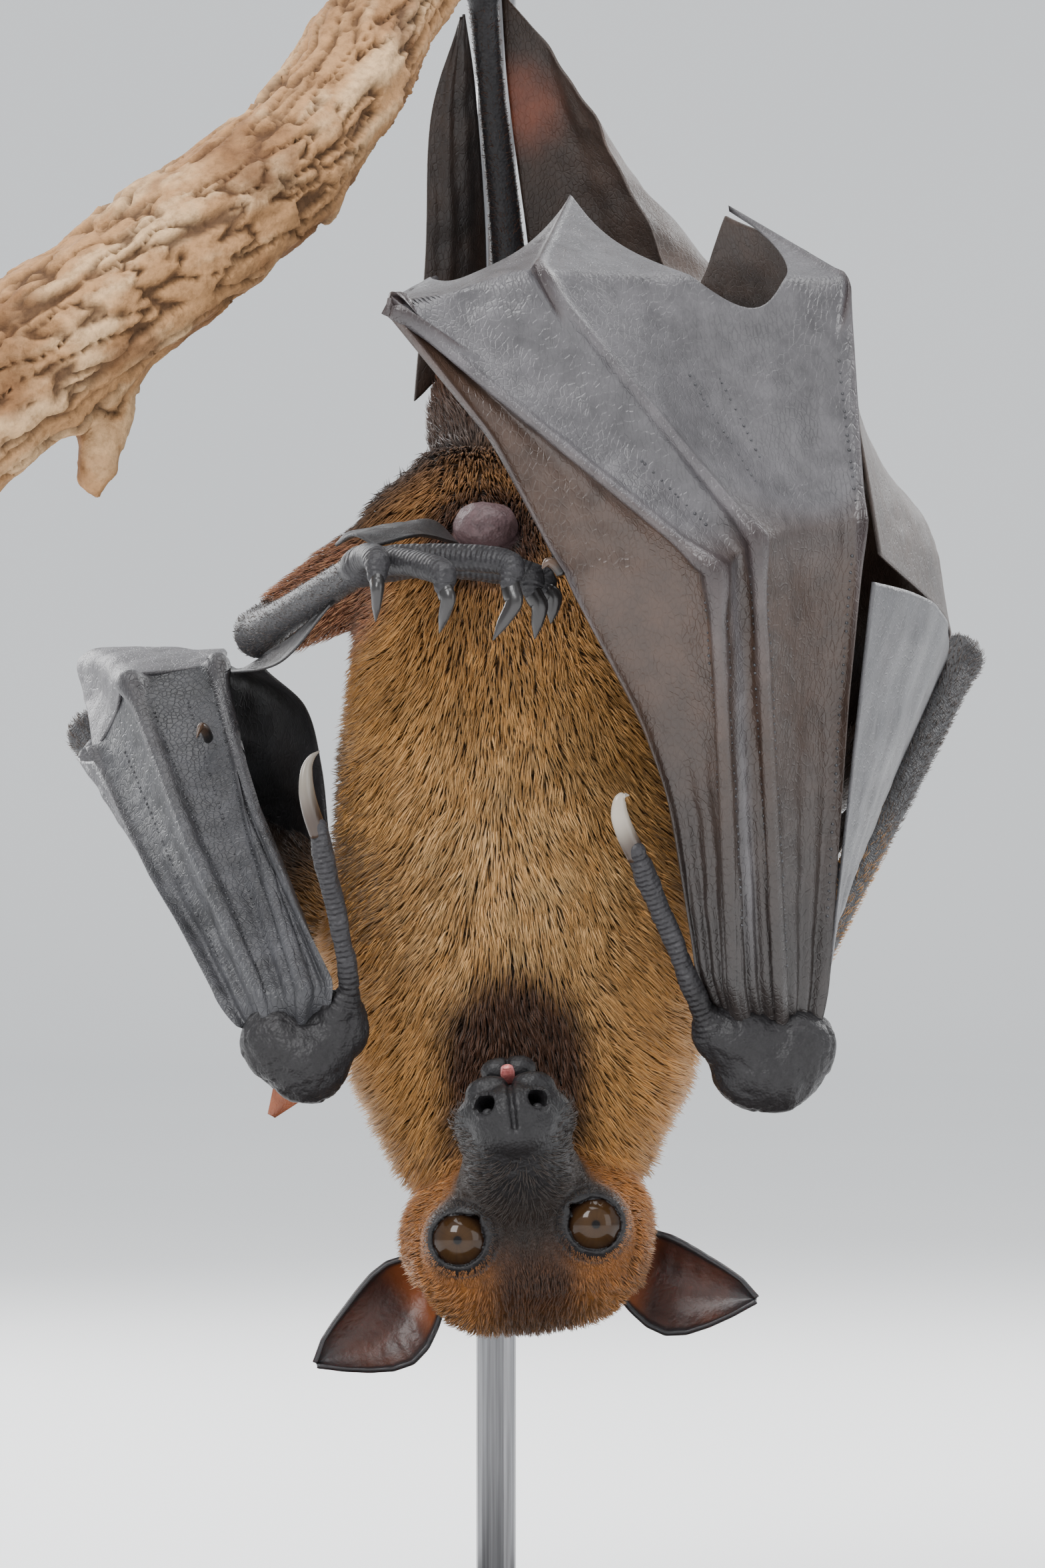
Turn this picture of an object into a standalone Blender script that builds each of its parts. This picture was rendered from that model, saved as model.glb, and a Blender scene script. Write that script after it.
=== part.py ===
"""Fruit bat hanging by one foot from a cut length of branch, on a flat display stand.

Lengths below are millimetres; meshes are scaled to metres when a node is made.
The animal hangs head down and faces -Y.  Names ending _right are the animal's right.
"""
import math

import bmesh
import bpy
from mathutils import Matrix, Vector

for thing in list(bpy.data.objects):
    bpy.data.objects.remove(thing, do_unlink=True)

GAP = 0.45             # clearance between neighbouring solids
SKIN = 0.42            # half thickness of a wing membrane
BASE_SIZE = (300.0, 240.0, 14.0)
ROD_RADIUS = 4.5
ROD_AT = (-6.0, 100.0)


def V(x, y, z):
    return Vector((x, y, z))


# ---------------------------------------------------------------- landmarks
EYES_MID = V(0.9, -35.0, 99.4)
HEAD_X = V(0.9936, 0.0, 0.1132)
HEAD_F = V(-0.0617, -0.8390, 0.5415)
HEAD_D = V(0.0950, -0.5450, -0.8336)

SHOULDER = {"right": V(28, 10, 158), "left": V(-28, 10, 158)}
ELBOW = {"right": V(98, 75, 223), "left": V(-97, 82, 206)}
WRIST = {"right": V(52, -46, 138), "left": V(-47, -41, 136)}
HIP = {"right": V(-4, 26, 258), "left": V(-18, 24, 250)}
KNEE = {"right": V(-2, 65, 296), "left": V(-57.5, 8, 228)}
ANKLE = {"right": V(-9, 45, 372), "left": V(-34, -64, 241)}

MCP = {
    "right": (V(8.5, -80, 239), V(40.4, -88, 239.4), V(49, -84, 246.5), V(72.5, -56, 251)),
    "left": (V(-68, 26, 219), V(-67.5, 31, 222), V(-87, 27, 218), V(-95, 44, 202)),
}
IPJ = {"right": (V(-28.8, -84, 295.0), V(-27.8, -83, 295.6), V(2.9, -80, 302.7), V(69.6, -50, 302.0))}
TIP = {"right": (V(-21.5, 14, 304), V(-19.6, 15, 306), V(10.4, -20, 321.5), V(44.6, -15, 319.5))}


# ---------------------------------------------------------------- mesh helpers
def new_mesh(verts, faces):
    mesh = bpy.data.meshes.new("shape")
    mesh.from_pydata([tuple(v) for v in verts], [], faces)
    bm = bmesh.new()
    bm.from_mesh(mesh)
    bmesh.ops.recalc_face_normals(bm, faces=bm.faces)
    bm.to_mesh(mesh)
    bm.free()
    return mesh


def lerp_path(points, count):
    """Catmull-Rom samples through the points, evenly spread over the spans."""
    pts = [p.copy() for p in points]
    ends = [pts[0] * 2 - pts[1]] + pts + [pts[-1] * 2 - pts[-2]]
    out = []
    spans = len(pts) - 1
    for k in range(count):
        s = spans * k / (count - 1)
        i = min(int(s), spans - 1)
        t = s - i
        a, b, c, d = ends[i], ends[i + 1], ends[i + 2], ends[i + 3]
        out.append(0.5 * ((2 * b) + (c - a) * t + (2 * a - 5 * b + 4 * c - d) * t * t
                          + (3 * b - a - 3 * c + d) * t * t * t))
    return out


def lerp_list(values, count):
    spans = len(values) - 1
    out = []
    for k in range(count):
        s = spans * k / (count - 1)
        i = min(int(s), spans - 1)
        out.append(values[i] + (values[i + 1] - values[i]) * (s - i))
    return out


def tube(points, radii, sides=8, samples=0, wide=1.0, side_dir=None, bumps=None):
    """Closed limb along points; wide stretches it along side_dir."""
    if samples:
        radii = lerp_list(radii, samples)
        points = lerp_path(points, samples)
    if side_dir is None:
        side_dir = V(1, 0, 0) if abs((points[-1] - points[0]).normalized().x) < 0.8 else V(0, 1, 0)
    verts, faces = [], []
    n = len(points)
    for i, p in enumerate(points):
        tangent = (points[min(i + 1, n - 1)] - points[max(i - 1, 0)]).normalized()
        across = (side_dir - tangent * side_dir.dot(tangent)).normalized()
        up = tangent.cross(across)
        for k in range(sides):
            angle = 2 * math.pi * k / sides
            r = radii[i]
            if bumps:
                r *= bumps(i, k)
            verts.append(p + across * (math.cos(angle) * r * wide) + up * (math.sin(angle) * r))
    for i in range(n - 1):
        for k in range(sides):
            a = i * sides + k
            b = i * sides + (k + 1) % sides
            faces.append((a, b, b + sides, a + sides))
    first = points[0] - (points[1] - points[0]).normalized() * radii[0] * 0.45
    last = points[-1] + (points[-1] - points[-2]).normalized() * radii[-1] * 0.45
    verts += [first, last]
    for k in range(sides):
        faces.append(((k + 1) % sides, k, n * sides))
        m = (n - 1) * sides
        faces.append((m + k, m + (k + 1) % sides, n * sides + 1))
    return new_mesh(verts, faces)


def ball(centre, radii, axes=None, seg=14, rings=8):
    axes = axes or (V(1, 0, 0), V(0, 1, 0), V(0, 0, 1))
    verts, faces = [], []
    for i in range(1, rings):
        polar = math.pi * i / rings
        for k in range(seg):
            angle = 2 * math.pi * k / seg
            verts.append(centre + axes[0] * (radii[0] * math.sin(polar) * math.cos(angle))
                         + axes[1] * (radii[1] * math.sin(polar) * math.sin(angle))
                         + axes[2] * (radii[2] * math.cos(polar)))
    for i in range(rings - 2):
        for k in range(seg):
            a = i * seg + k
            b = i * seg + (k + 1) % seg
            faces.append((a, b, b + seg, a + seg))
    top, low = len(verts), len(verts) + 1
    verts += [centre + axes[2] * radii[2], centre - axes[2] * radii[2]]
    m = (rings - 2) * seg
    for k in range(seg):
        faces.append(((k + 1) % seg, k, top))
        faces.append((m + k, m + (k + 1) % seg, low))
    return new_mesh(verts, faces)


def sheet(grid, half):
    """Closed thin body over a grid of points; half is a number or a grid of half thicknesses."""
    rows, cols = len(grid), len(grid[0])
    normals = []
    for i in range(rows):
        line = []
        for j in range(cols):
            du = grid[min(i + 1, rows - 1)][j] - grid[max(i - 1, 0)][j]
            dv = grid[i][min(j + 1, cols - 1)] - grid[i][max(j - 1, 0)]
            line.append(du.cross(dv).normalized())
        normals.append(line)
    verts, faces = [], []
    for side in (1, -1):
        for i in range(rows):
            for j in range(cols):
                h = half[i][j] if isinstance(half, list) else half
                verts.append(grid[i][j] + normals[i][j] * h * side)
    off = rows * cols
    for i in range(rows - 1):
        for j in range(cols - 1):
            a = i * cols + j
            faces.append((a, a + 1, a + cols + 1, a + cols))
            faces.append((off + a, off + a + cols, off + a + cols + 1, off + a + 1))
    rim = [j for j in range(cols)]
    rim += [i * cols + cols - 1 for i in range(1, rows)]
    rim += [(rows - 1) * cols + j for j in range(cols - 2, -1, -1)]
    rim += [i * cols for i in range(rows - 2, 0, -1)]
    for k in range(len(rim)):
        a, b = rim[k], rim[(k + 1) % len(rim)]
        faces.append((a, off + a, off + b, b))
    return new_mesh(verts, faces)


def joined(meshes):
    bm = bmesh.new()
    for mesh in meshes:
        bm.from_mesh(mesh)
    out = bpy.data.meshes.new("joined")
    bm.to_mesh(out)
    bm.free()
    return out


def evaluated(mesh, settings):
    """The mesh after the listed modifiers, as a new mesh."""
    obj = bpy.data.objects.new("work", mesh)
    bpy.context.scene.collection.objects.link(obj)
    for kind, values in settings:
        mod = obj.modifiers.new("m", kind)
        for key, value in values.items():
            setattr(mod, key, value)
    bpy.context.view_layer.update()
    graph = bpy.context.evaluated_depsgraph_get()
    out = bpy.data.meshes.new_from_object(obj.evaluated_get(graph), depsgraph=graph)
    bpy.data.objects.remove(obj, do_unlink=True)
    return out


def fused(meshes, voxel, smooth, faces):
    """One skin round all the meshes, brought down to about the given number of triangles."""
    skin = evaluated(joined(meshes), [
        ("REMESH", {"mode": "VOXEL", "voxel_size": voxel}),
        ("SMOOTH", {"factor": 0.5, "iterations": smooth}),
        ("TRIANGULATE", {}),
    ])
    ratio = min(1.0, faces / max(1, len(skin.polygons)))
    return evaluated(skin, [("DECIMATE", {"ratio": ratio})])


def sliced(mesh, point, normal):
    """The part of a closed mesh on the side the normal points to, capped."""
    bm = bmesh.new()
    bm.from_mesh(mesh)
    geom = bm.verts[:] + bm.edges[:] + bm.faces[:]
    bmesh.ops.bisect_plane(bm, geom=geom, plane_co=point, plane_no=normal, clear_inner=True)
    open_edges = [e for e in bm.edges if e.is_boundary]
    bmesh.ops.holes_fill(bm, edges=open_edges, sides=0)
    bmesh.ops.triangulate(bm, faces=bm.faces)
    bmesh.ops.recalc_face_normals(bm, faces=bm.faces)
    out = bpy.data.meshes.new("sliced")
    bm.to_mesh(out)
    bm.free()
    return out


def main_island(mesh):
    """Keeps the largest connected piece, with slivers cleared away where that leaves it closed."""
    for clean, method in ((0.004, "BEAUTY"), (0.0005, "BEAUTY"), (0.02, "EAR_CLIP"), (0.0, "EAR_CLIP")):
        bm = bmesh.new()
        bm.from_mesh(mesh)
        if clean:
            bmesh.ops.remove_doubles(bm, verts=bm.verts, dist=clean)
            bmesh.ops.dissolve_degenerate(bm, edges=bm.edges, dist=clean)
        seen, best = set(), []
        for start in bm.verts:
            if start in seen:
                continue
            island, stack = [], [start]
            seen.add(start)
            while stack:
                v = stack.pop()
                island.append(v)
                for e in v.link_edges:
                    w = e.other_vert(v)
                    if w not in seen:
                        seen.add(w)
                        stack.append(w)
            if len(island) > len(best):
                best = island
        keep = set(best)
        bmesh.ops.delete(bm, geom=[v for v in bm.verts if v not in keep], context="VERTS")
        bmesh.ops.triangulate(bm, faces=bm.faces, ngon_method=method)
        closed = all(e.is_manifold for e in bm.edges)
        out = bpy.data.meshes.new("island")
        bm.to_mesh(out)
        bm.free()
        if closed:
            break
    return out


def bounds(mesh):
    xs = [v.co for v in mesh.vertices]
    low = V(min(c.x for c in xs), min(c.y for c in xs), min(c.z for c in xs))
    high = V(max(c.x for c in xs), max(c.y for c in xs), max(c.z for c in xs))
    return low, high


def grown(mesh, amount):
    bm = bmesh.new()
    bm.from_mesh(mesh)
    bm.normal_update()
    moves = [(v, v.normal * (amount * min(v.calc_shell_factor(), 1.6))) for v in bm.verts]
    for v, move in moves:
        v.co += move
    out = bpy.data.meshes.new("grown")
    bm.to_mesh(out)
    bm.free()
    return out


PLACED = []
SCALE = Matrix.Scale(0.001, 4)


def volume(mesh):
    """Enclosed volume, or None where the surface is open."""
    bm = bmesh.new()
    bm.from_mesh(mesh)
    closed = bool(bm.edges) and all(e.is_manifold for e in bm.edges)
    amount = bm.calc_volume() if closed else None
    bm.free()
    return amount


def difference(mesh, tool):
    """Subtracts the tool; the second solver is for the pairs the first leaves open or empty."""
    cutter = bpy.data.objects.new("cutter", tool)
    bpy.context.scene.collection.objects.link(cutter)
    before = volume(mesh)
    kept = mesh
    for solver in ("EXACT", "MANIFOLD"):
        result = evaluated(mesh, [("BOOLEAN", {"operation": "DIFFERENCE", "solver": solver, "object": cutter})])
        after = volume(result)
        if after is not None and before * 1.02 + 15 > after > before * 0.15:
            kept = result
            break
    bpy.data.objects.remove(cutter, do_unlink=True)
    return kept


def carve(mesh, others):
    """Cuts the neighbours, each with the clearance added, out of the mesh."""
    low, high = bounds(mesh)
    for other in others:
        o_low, o_high = bounds(other)
        if any(o_low[k] > high[k] + 1 or o_high[k] < low[k] - 1 for k in range(3)):
            continue
        mesh = difference(mesh, grown(other, GAP))
    return mesh


def clashes(mesh, others):
    """True where the mesh runs into any of the others."""
    low, high = bounds(mesh)
    for other in others:
        o_low, o_high = bounds(other)
        if any(o_low[k] > high[k] or o_high[k] < low[k] for k in range(3)):
            continue
        tool = bpy.data.objects.new("tool", other.copy())
        bpy.context.scene.collection.objects.link(tool)
        shared = evaluated(mesh, [("BOOLEAN", {"operation": "INTERSECT", "solver": "EXACT", "object": tool})])
        bpy.data.objects.remove(tool, do_unlink=True)
        if len(shared.polygons) and (volume(shared) or 1.0) > 0.003:
            return True
    return False


def tone(name, colour, rough):
    mat = bpy.data.materials.new(name)
    mat.use_nodes = True
    shader = mat.node_tree.nodes["Principled BSDF"]
    shader.inputs["Base Color"].default_value = (*colour, 1.0)
    shader.inputs["Roughness"].default_value = rough
    mat.diffuse_color = (*colour, 1.0)
    return mat


def node(name, mesh, colour, rough=0.7, limit=0):
    """Makes one named solid, cleared from everything made before it."""
    mesh = carve(mesh, PLACED)
    flat = main_island(evaluated(mesh, [("DECIMATE", {"decimate_type": "DISSOLVE", "angle_limit": math.radians(1.5)})]))
    if volume(flat) is not None and abs(volume(flat) - volume(mesh)) < 0.03 * volume(mesh):
        mesh = flat
    else:
        mesh = main_island(mesh)
    for share in (1.0, 1.3, 1.7):
        if limit and len(mesh.polygons) > limit * share:
            ratio = limit * share / len(mesh.polygons)
            lighter = main_island(evaluated(mesh, [("DECIMATE", {"ratio": ratio})]))
            if volume(lighter) is not None and not clashes(lighter, PLACED):
                mesh = lighter
                break
    PLACED.append(mesh.copy())
    mesh.transform(SCALE)
    obj = bpy.data.objects.new(name, mesh)
    bpy.context.scene.collection.objects.link(obj)
    mesh.materials.clear()
    mesh.materials.append(tone(name, colour, rough))
    return obj


FUR_GOLD = (0.28, 0.13, 0.04)
FUR_RED = (0.22, 0.07, 0.02)
FUR_DARK = (0.06, 0.03, 0.018)
SKIN_BLACK = (0.02, 0.018, 0.018)
SKIN_GREY = (0.10, 0.095, 0.10)
WING_BROWN = (0.07, 0.045, 0.035)
BARK = (0.42, 0.27, 0.15)
HORN = (0.01, 0.01, 0.01)


# ---------------------------------------------------------------- stand and perch
def make_stand():
    x, y, z = (s for s in BASE_SIZE)
    bm = bmesh.new()
    bmesh.ops.create_cube(bm, size=1.0)
    for v in bm.verts:
        v.co = Vector((v.co.x * x, v.co.y * y, (v.co.z + 0.5) * z))
    upright = [e for e in bm.edges if abs(e.verts[0].co.z - e.verts[1].co.z) > 1]
    bmesh.ops.bevel(bm, geom=upright, offset=16, segments=4, profile=0.5, affect="EDGES")
    top = [e for e in bm.edges if all(v.co.z > z - 0.01 for v in e.verts) and len(e.link_faces) == 2
           and any(abs(f.normal.z) < 0.5 for f in e.link_faces)]
    bmesh.ops.bevel(bm, geom=top, offset=3, segments=2, profile=0.5, affect="EDGES")
    bmesh.ops.triangulate(bm, faces=bm.faces)
    mesh = bpy.data.meshes.new("base")
    bm.to_mesh(mesh)
    bm.free()
    node("stand_base", mesh, (0.05, 0.045, 0.04), 0.4)


BRANCH_AXIS = [V(-131, -49, 263), V(-103, -44, 287), V(-79, -36, 306), V(-55, -22, 325),
               V(-39, -1, 346), V(-29, 16, 366), V(-14, 27, 383), V(3, 38, 393),
               V(10, 57, 399), V(5, 82, 403), V(-7, 106, 405), V(-12, 114, 405)]
BRANCH_RADII = [18.6, 18.4, 17.8, 16.6, 14.6, 13.6, 13.0, 12.6, 12.2, 11.8, 11.4, 11.2]


def bark_bumps(i, k):
    return 1.0 + 0.045 * math.sin(1.9 * i + 2.3 * k) + 0.035 * math.sin(0.8 * i - 1.7 * k + 1.0)


def make_perch():
    stem = tube(BRANCH_AXIS, BRANCH_RADII, sides=14, samples=24, bumps=bark_bumps)
    knot = ball(V(-58, -37, 325), (7, 5, 6))
    snag = tube([V(-88, -36, 290), V(-89, -37, 272), V(-92, -39, 262), V(-91, -41, 256)], [9.5, 6.5, 5.0, 1.6], sides=8)
    perch = fused([stem, knot, snag], 1.6, 2, 900)
    perch = sliced(perch, V(-128, -48, 265), V(0.75, 0.1, 0.66))
    perch = sliced(perch, V(-9.5, 110, 405), V(0.5, -0.86, 0))
    node("perch_branch", perch, BARK, 0.9, 460)


def make_rod():
    rod = tube([V(*ROD_AT, 15), V(*ROD_AT, 200), V(*ROD_AT, 401)], [ROD_RADIUS] * 3, sides=16)
    rod = sliced(rod, V(0, 0, BASE_SIZE[2] + 0.05), V(0, 0, 1))
    node("stand_rod", rod, (0.05, 0.05, 0.05), 0.35, 120)


# ---------------------------------------------------------------- head
def local(x, f, d):
    return EYES_MID + HEAD_X * x + HEAD_F * f + HEAD_D * d


HEAD_AXES = (HEAD_X, HEAD_F, HEAD_D)


def head_ball(x, f, d, rx, rf, rd):
    return ball(local(x, f, d), (rx, rf, rd), HEAD_AXES)


EYE_RADIUS = 7.4


def eye_centre(side):
    return local(13.7 * side, 1.6, 0.4)


def make_head():
    parts = [head_ball(0, -14, -3, 27, 24, 19)]
    for side in (-1, 1):
        parts.append(head_ball(11 * side, -11, -8, 18, 17, 16))
        parts.append(head_ball(11 * side, -12, 2, 14, 18, 15))
        parts.append(head_ball(14.5 * side, -6, 0, 9.5, 7.5, 9.5))
        parts.append(head_ball(6 * side, 23, -15, 7.5, 9.5, 5.2))
        parts.append(head_ball(4.9 * side, 30.5, -9.8, 4.8, 4.4, 4.8))
    muzzle = tube([local(0, -6, -8), local(0, 8, -8.5), local(0, 18, -9.5), local(0, 27, -10.5), local(0, 31, -10.5)],
                  [14.5, 12.6, 11.0, 9.6, 6.5], sides=12, wide=1.15, side_dir=HEAD_X)
    parts.append(muzzle)
    head = fused(parts, 1.3, 5, 900)
    head = sliced(head, V(0, 0, 112.5), V(0, -0.45, -0.9))
    return head


def make_face():
    for side, label in ((1, "right"), (-1, "left")):
        eye = ball(eye_centre(side), (EYE_RADIUS,) * 3, HEAD_AXES, seg=12, rings=6)
        node("eye_" + label, eye, (0.05, 0.02, 0.01), 0.1)
    head = make_head()
    tongue = ball(local(-1.9, 30.2, -20.6), (2.0, 3.0, 1.3), HEAD_AXES, seg=8, rings=4)
    node("tongue_tip", tongue, (0.5, 0.16, 0.16), 0.4)
    node("head", head, FUR_DARK, limit=660)
    jaw = fused([tube([local(0, -8, -19), local(0, 8, -21.6), local(0, 19, -22.6), local(0, 26.5, -23.2)],
                      [9, 7.4, 5.6, 4.0], sides=12, wide=1.5, side_dir=HEAD_X)], 1.1, 3, 320)
    node("lower_jaw", jaw, SKIN_BLACK, limit=200)
    for side, label in ((1, "right"), (-1, "left")):
        make_ear(side, label)


EAR_ROOT = {"right": V(22, -10, 91.5), "left": V(-21, -10, 87.5)}
EAR_TIP = {"right": V(50.6, -17, 83.6), "left": V(-44.6, -17, 69.6)}


def make_ear(side, label):
    """Leaf shaped shell, hollow towards the front."""
    root, tip = EAR_ROOT[label], EAR_TIP[label]
    along = tip - root
    across = V(0, -1, 0).cross(along).normalized() * side
    out = V(0, -1, 0)
    widths = [7.5, 9.6, 10.6, 10.2, 8.2, 5.0, 1.2]
    lean = [0, -0.6, -1.6, -2.2, -1.6, -0.6, 0]
    grid = []
    for i, width in enumerate(widths):
        t = i / (len(widths) - 1)
        centre = root + along * t + across * lean[i]
        row = []
        for k in range(7):
            s = -1 + 2 * k / 6
            curl = (abs(s) ** 1.8) * 6.5 * (1 - 0.75 * t)
            row.append(centre + across * (width * s * (1 - 0.08 * abs(s))) + out * curl - out * 2)
        grid.append(row)
    node("ear_" + label, sheet(grid, 0.5), (0.09, 0.03, 0.02), limit=130)


# ---------------------------------------------------------------- trunk
TRUNK = (
    # height, centre x, half width, centre y, half depth
    (108, 0, 25, -12, 21), (114, 0, 30, -10, 25), (121, -0.5, 33, -8, 28), (130, 0, 38, -3, 31),
    (142, 0, 40.5, 2, 33), (160, 0, 42, 5, 34.5), (185, 0, 42.5, 7, 34.5), (205, 0, 41.5, 9, 33),
    (225, -1, 38.5, 12, 30.5), (243, -3, 33.5, 17, 27.5), (256, -5, 29, 22, 24), (266, -6, 20, 26, 19),
    (271, -7, 10, 28, 10),
)


def make_trunk():
    sides = 24
    verts, faces = [], []
    for z, cx, hw, cy, hd in TRUNK:
        for k in range(sides):
            a = 2 * math.pi * k / sides
            c, s = math.cos(a), math.sin(a)
            verts.append(V(cx + hw * math.copysign(abs(c) ** 0.92, c), cy + hd * math.copysign(abs(s) ** 0.92, s), z))
    rings = len(TRUNK)
    for i in range(rings - 1):
        for k in range(sides):
            a = i * sides + k
            b = i * sides + (k + 1) % sides
            faces.append((a, b, b + sides, a + sides))
    faces.append(tuple(range(sides)))
    faces.append(tuple(range((rings - 1) * sides, rings * sides)))
    body = new_mesh(verts, faces)
    shoulders = [ball(SHOULDER[s] + V(0, 0, -2), (15, 17, 19)) for s in ("right", "left")]
    rump = [ball(V(-19, 22, 250), (17, 15, 13)), ball(V(6, 24, 250), (20, 17, 14))]
    whole = fused([body] + shoulders + rump, 2.4, 5, 1500)
    cuts = (133, 178, 226)
    names = (("neck", FUR_RED, 240), ("chest", FUR_GOLD, 340), ("belly", FUR_DARK, 320), ("rump", FUR_DARK, 380))
    for i, (name, colour, limit) in enumerate(names):
        piece = whole
        if i > 0:
            piece = sliced(piece, V(0, 0, cuts[i - 1] + GAP / 2), V(0, 0, 1))
        if i < 3:
            piece = sliced(piece, V(0, 0, cuts[i] - GAP / 2), V(0, 0, -1))
        node(name, piece, colour, limit=limit)
    nub = ball(V(-8, -2, 251), (7.4, 9, 5.8), seg=12, rings=8)
    node("groin_nub", nub, (0.12, 0.07, 0.07), limit=80)


# ---------------------------------------------------------------- legs
def make_legs():
    thigh = tube([HIP["right"], V(-8.5, 42, 274), V(-8, 55, 287), KNEE["right"]], [18, 16, 12.5, 6.5], sides=12, samples=8)
    node("thigh_right", thigh, FUR_DARK, limit=180)
    shin = tube([KNEE["right"], V(-4, 59, 322), V(-7, 51, 350), ANKLE["right"]], [5.2, 4.0, 3.2, 3.8], sides=10, samples=9)
    node("shin_right", shin, SKIN_BLACK, limit=120)
    thigh = tube([HIP["left"], V(-36, 20, 240), KNEE["left"]], [15, 13, 6.5], sides=12, samples=7)
    node("thigh_left", thigh, FUR_DARK, limit=160)
    shin = tube([KNEE["left"], V(-50, -20, 232), ANKLE["left"]], [5.4, 4.2, 3.6], sides=10, samples=8)
    node("shin_left", shin, SKIN_BLACK, limit=120)


GRIP_DIR = V(0.65, 0.43, 0.63).normalized()
GRIP_MID = V(-12.5, 28.2, 384.2)
GRIP_BACK = V(0.105, 0.79, -0.61).normalized()


def grip_point(along, angle, reach):
    back = (GRIP_BACK - GRIP_DIR * GRIP_BACK.dot(GRIP_DIR)).normalized()
    over = GRIP_DIR.cross(back)
    a = math.radians(angle)
    return GRIP_MID + GRIP_DIR * along + (back * math.cos(a) + over * math.sin(a)) * reach


def make_gripping_foot():
    parts, claws = [], []
    heel = ANKLE["right"]
    for k in range(5):
        along = -9.5 + 4.8 * k
        root = grip_point(along * 0.6, 28, 18.4)
        path = [heel.lerp(root, 0.15), root] + [grip_point(along, a, 16.9) for a in (62, 92, 118, 138)]
        parts.append(tube(path, [3.2, 2.8, 2.3, 2.2, 2.2, 1.7], sides=8, samples=14))
        claw = [grip_point(along, a, r) for a, r in ((136, 17.2), (152, 17.4), (168, 16.4), (184, 15.2))]
        claws.append(tube(claw, [1.6, 1.5, 1.05, 0.4], sides=7, samples=7))
    parts.append(ball(heel + V(0, 0.5, 1), (4.6, 4.6, 5.2)))
    foot = fused(parts, 0.8, 2, 560)
    return foot, claws


FREE_TOES = (
    # knuckle, claw bend, claw tip
    (V(-30.6, -83, 240.8), V(-30.4, -86, 235.5), V(-30.8, -84, 229.0)),
    (V(-17.2, -86, 238.6), V(-15.6, -88, 233.5), V(-17.4, -85, 226.6)),
    (V(-3.4, -78, 240.6), V(-1.8, -80, 233.0), V(-6.2, -78, 225.2)),
    (V(0.4, -67, 238.6), V(3.6, -68, 232.5), V(2.6, -66, 225.6)),
    (V(2.8, -57, 238.0), V(6.6, -58, 234.5), V(6.0, -57, 229.0)),
)


def make_free_foot():
    parts, claws = [], []
    heel = ANKLE["left"]
    for knuckle, bend, tip in FREE_TOES:
        base = heel.lerp(knuckle, 0.45) + V(0, 1.0, 2.0)
        parts.append(tube([heel, base, knuckle + V(0, 0.5, 1.0), knuckle.lerp(bend, 0.35)], [4.2, 3.9, 3.3, 2.2], sides=8,
                          samples=10))
        claws.append(tube([knuckle.lerp(bend, 0.2), knuckle.lerp(bend, 0.75), bend, tip], [1.9, 2.3, 1.9, 0.4], sides=7,
                          samples=8))
    parts.append(ball(heel, (4.6, 4.6, 4.4)))
    foot = fused(parts, 0.8, 2, 560)
    return foot, claws


def make_feet():
    for label, maker in (("right", make_gripping_foot), ("left", make_free_foot)):
        foot, claws = maker()
        node("foot_" + label, foot, SKIN_BLACK, limit=330)
        for k, claw in enumerate(claws):
            node(f"toe_claw_{label}_{k + 1}", claw, HORN, 0.3, 56)


# ---------------------------------------------------------------- arms
def make_arms():
    for label in ("right", "left"):
        shoulder, elbow, wrist = SHOULDER[label], ELBOW[label], WRIST[label]
        upper = tube([shoulder, shoulder.lerp(elbow, 0.35), shoulder.lerp(elbow, 0.7), elbow], [15, 12, 8, 6.6],
                     sides=12, samples=8)
        node("upper_arm_" + label, upper, FUR_RED, limit=180)
        fore = tube([elbow, elbow.lerp(wrist, 0.3), elbow.lerp(wrist, 0.7), wrist.lerp(elbow, 0.06)],
                    [5.6, 5.6, 4.4, 4.6], sides=9, samples=6)
        node("forearm_" + label, fore, SKIN_GREY, limit=100)


WRIST_BLOBS = {
    "right": ((V(52, -47, 134), (12, 9.5, 9.5)), (V(57, -46, 139), (10.5, 9, 9)), (V(46, -50, 141), (9, 7.5, 8))),
    "left": ((V(-46, -43, 136), (9.5, 8.5, 9.5)), (V(-52, -42, 140), (8.5, 8, 9)), (V(-40, -43, 143), (7.5, 7, 8))),
}
THUMB = {
    "right": (V(40, -52, 142), V(36, -57, 152), V(28, -63, 171), V(24, -68, 181)),
    "left": (V(-38, -47, 148), V(-37, -50, 154), V(-40.5, -56, 172), V(-43.5, -61, 186)),
}
THUMB_CLAW = {
    "right": (V(24, -68, 181), V(20.8, -70, 187), V(20.6, -71, 192), V(22.5, -70, 192.6)),
    "left": (V(-43.5, -61, 186), V(-45.5, -63, 192), V(-45.5, -63, 199), V(-43, -61, 202)),
}


def make_hands():
    for label in ("right", "left"):
        blobs = [ball(c, r) for c, r in WRIST_BLOBS[label]]
        stem = tube([V(*THUMB[label][0]), V(*THUMB[label][1])], [4.2, 3.4], sides=10)
        wrist = fused(blobs + [stem], 1.1, 3, 420)
        node("wrist_" + label, wrist, SKIN_BLACK, limit=220)
        thumb = tube(THUMB[label], [3.6, 2.9, 2.5, 2.6], sides=8, samples=9)
        node("thumb_" + label, thumb, SKIN_GREY, limit=100)
        claw = tube(THUMB_CLAW[label], [2.2, 2.1, 1.3, 0.4], sides=8, samples=8)
        node("thumb_claw_" + label, claw, HORN, 0.3, 64)


# ---------------------------------------------------------------- finger fans
HAND_START = {
    "right": (V(38.2, -55, 147), V(45, -59, 148), V(54.5, -56.5, 148), V(63.6, -47, 147)),
    "left": (V(-40.2, -49, 152), V(-46.5, -50.5, 151), V(-55.5, -46, 150), V(-64.5, -36, 149)),
}


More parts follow.
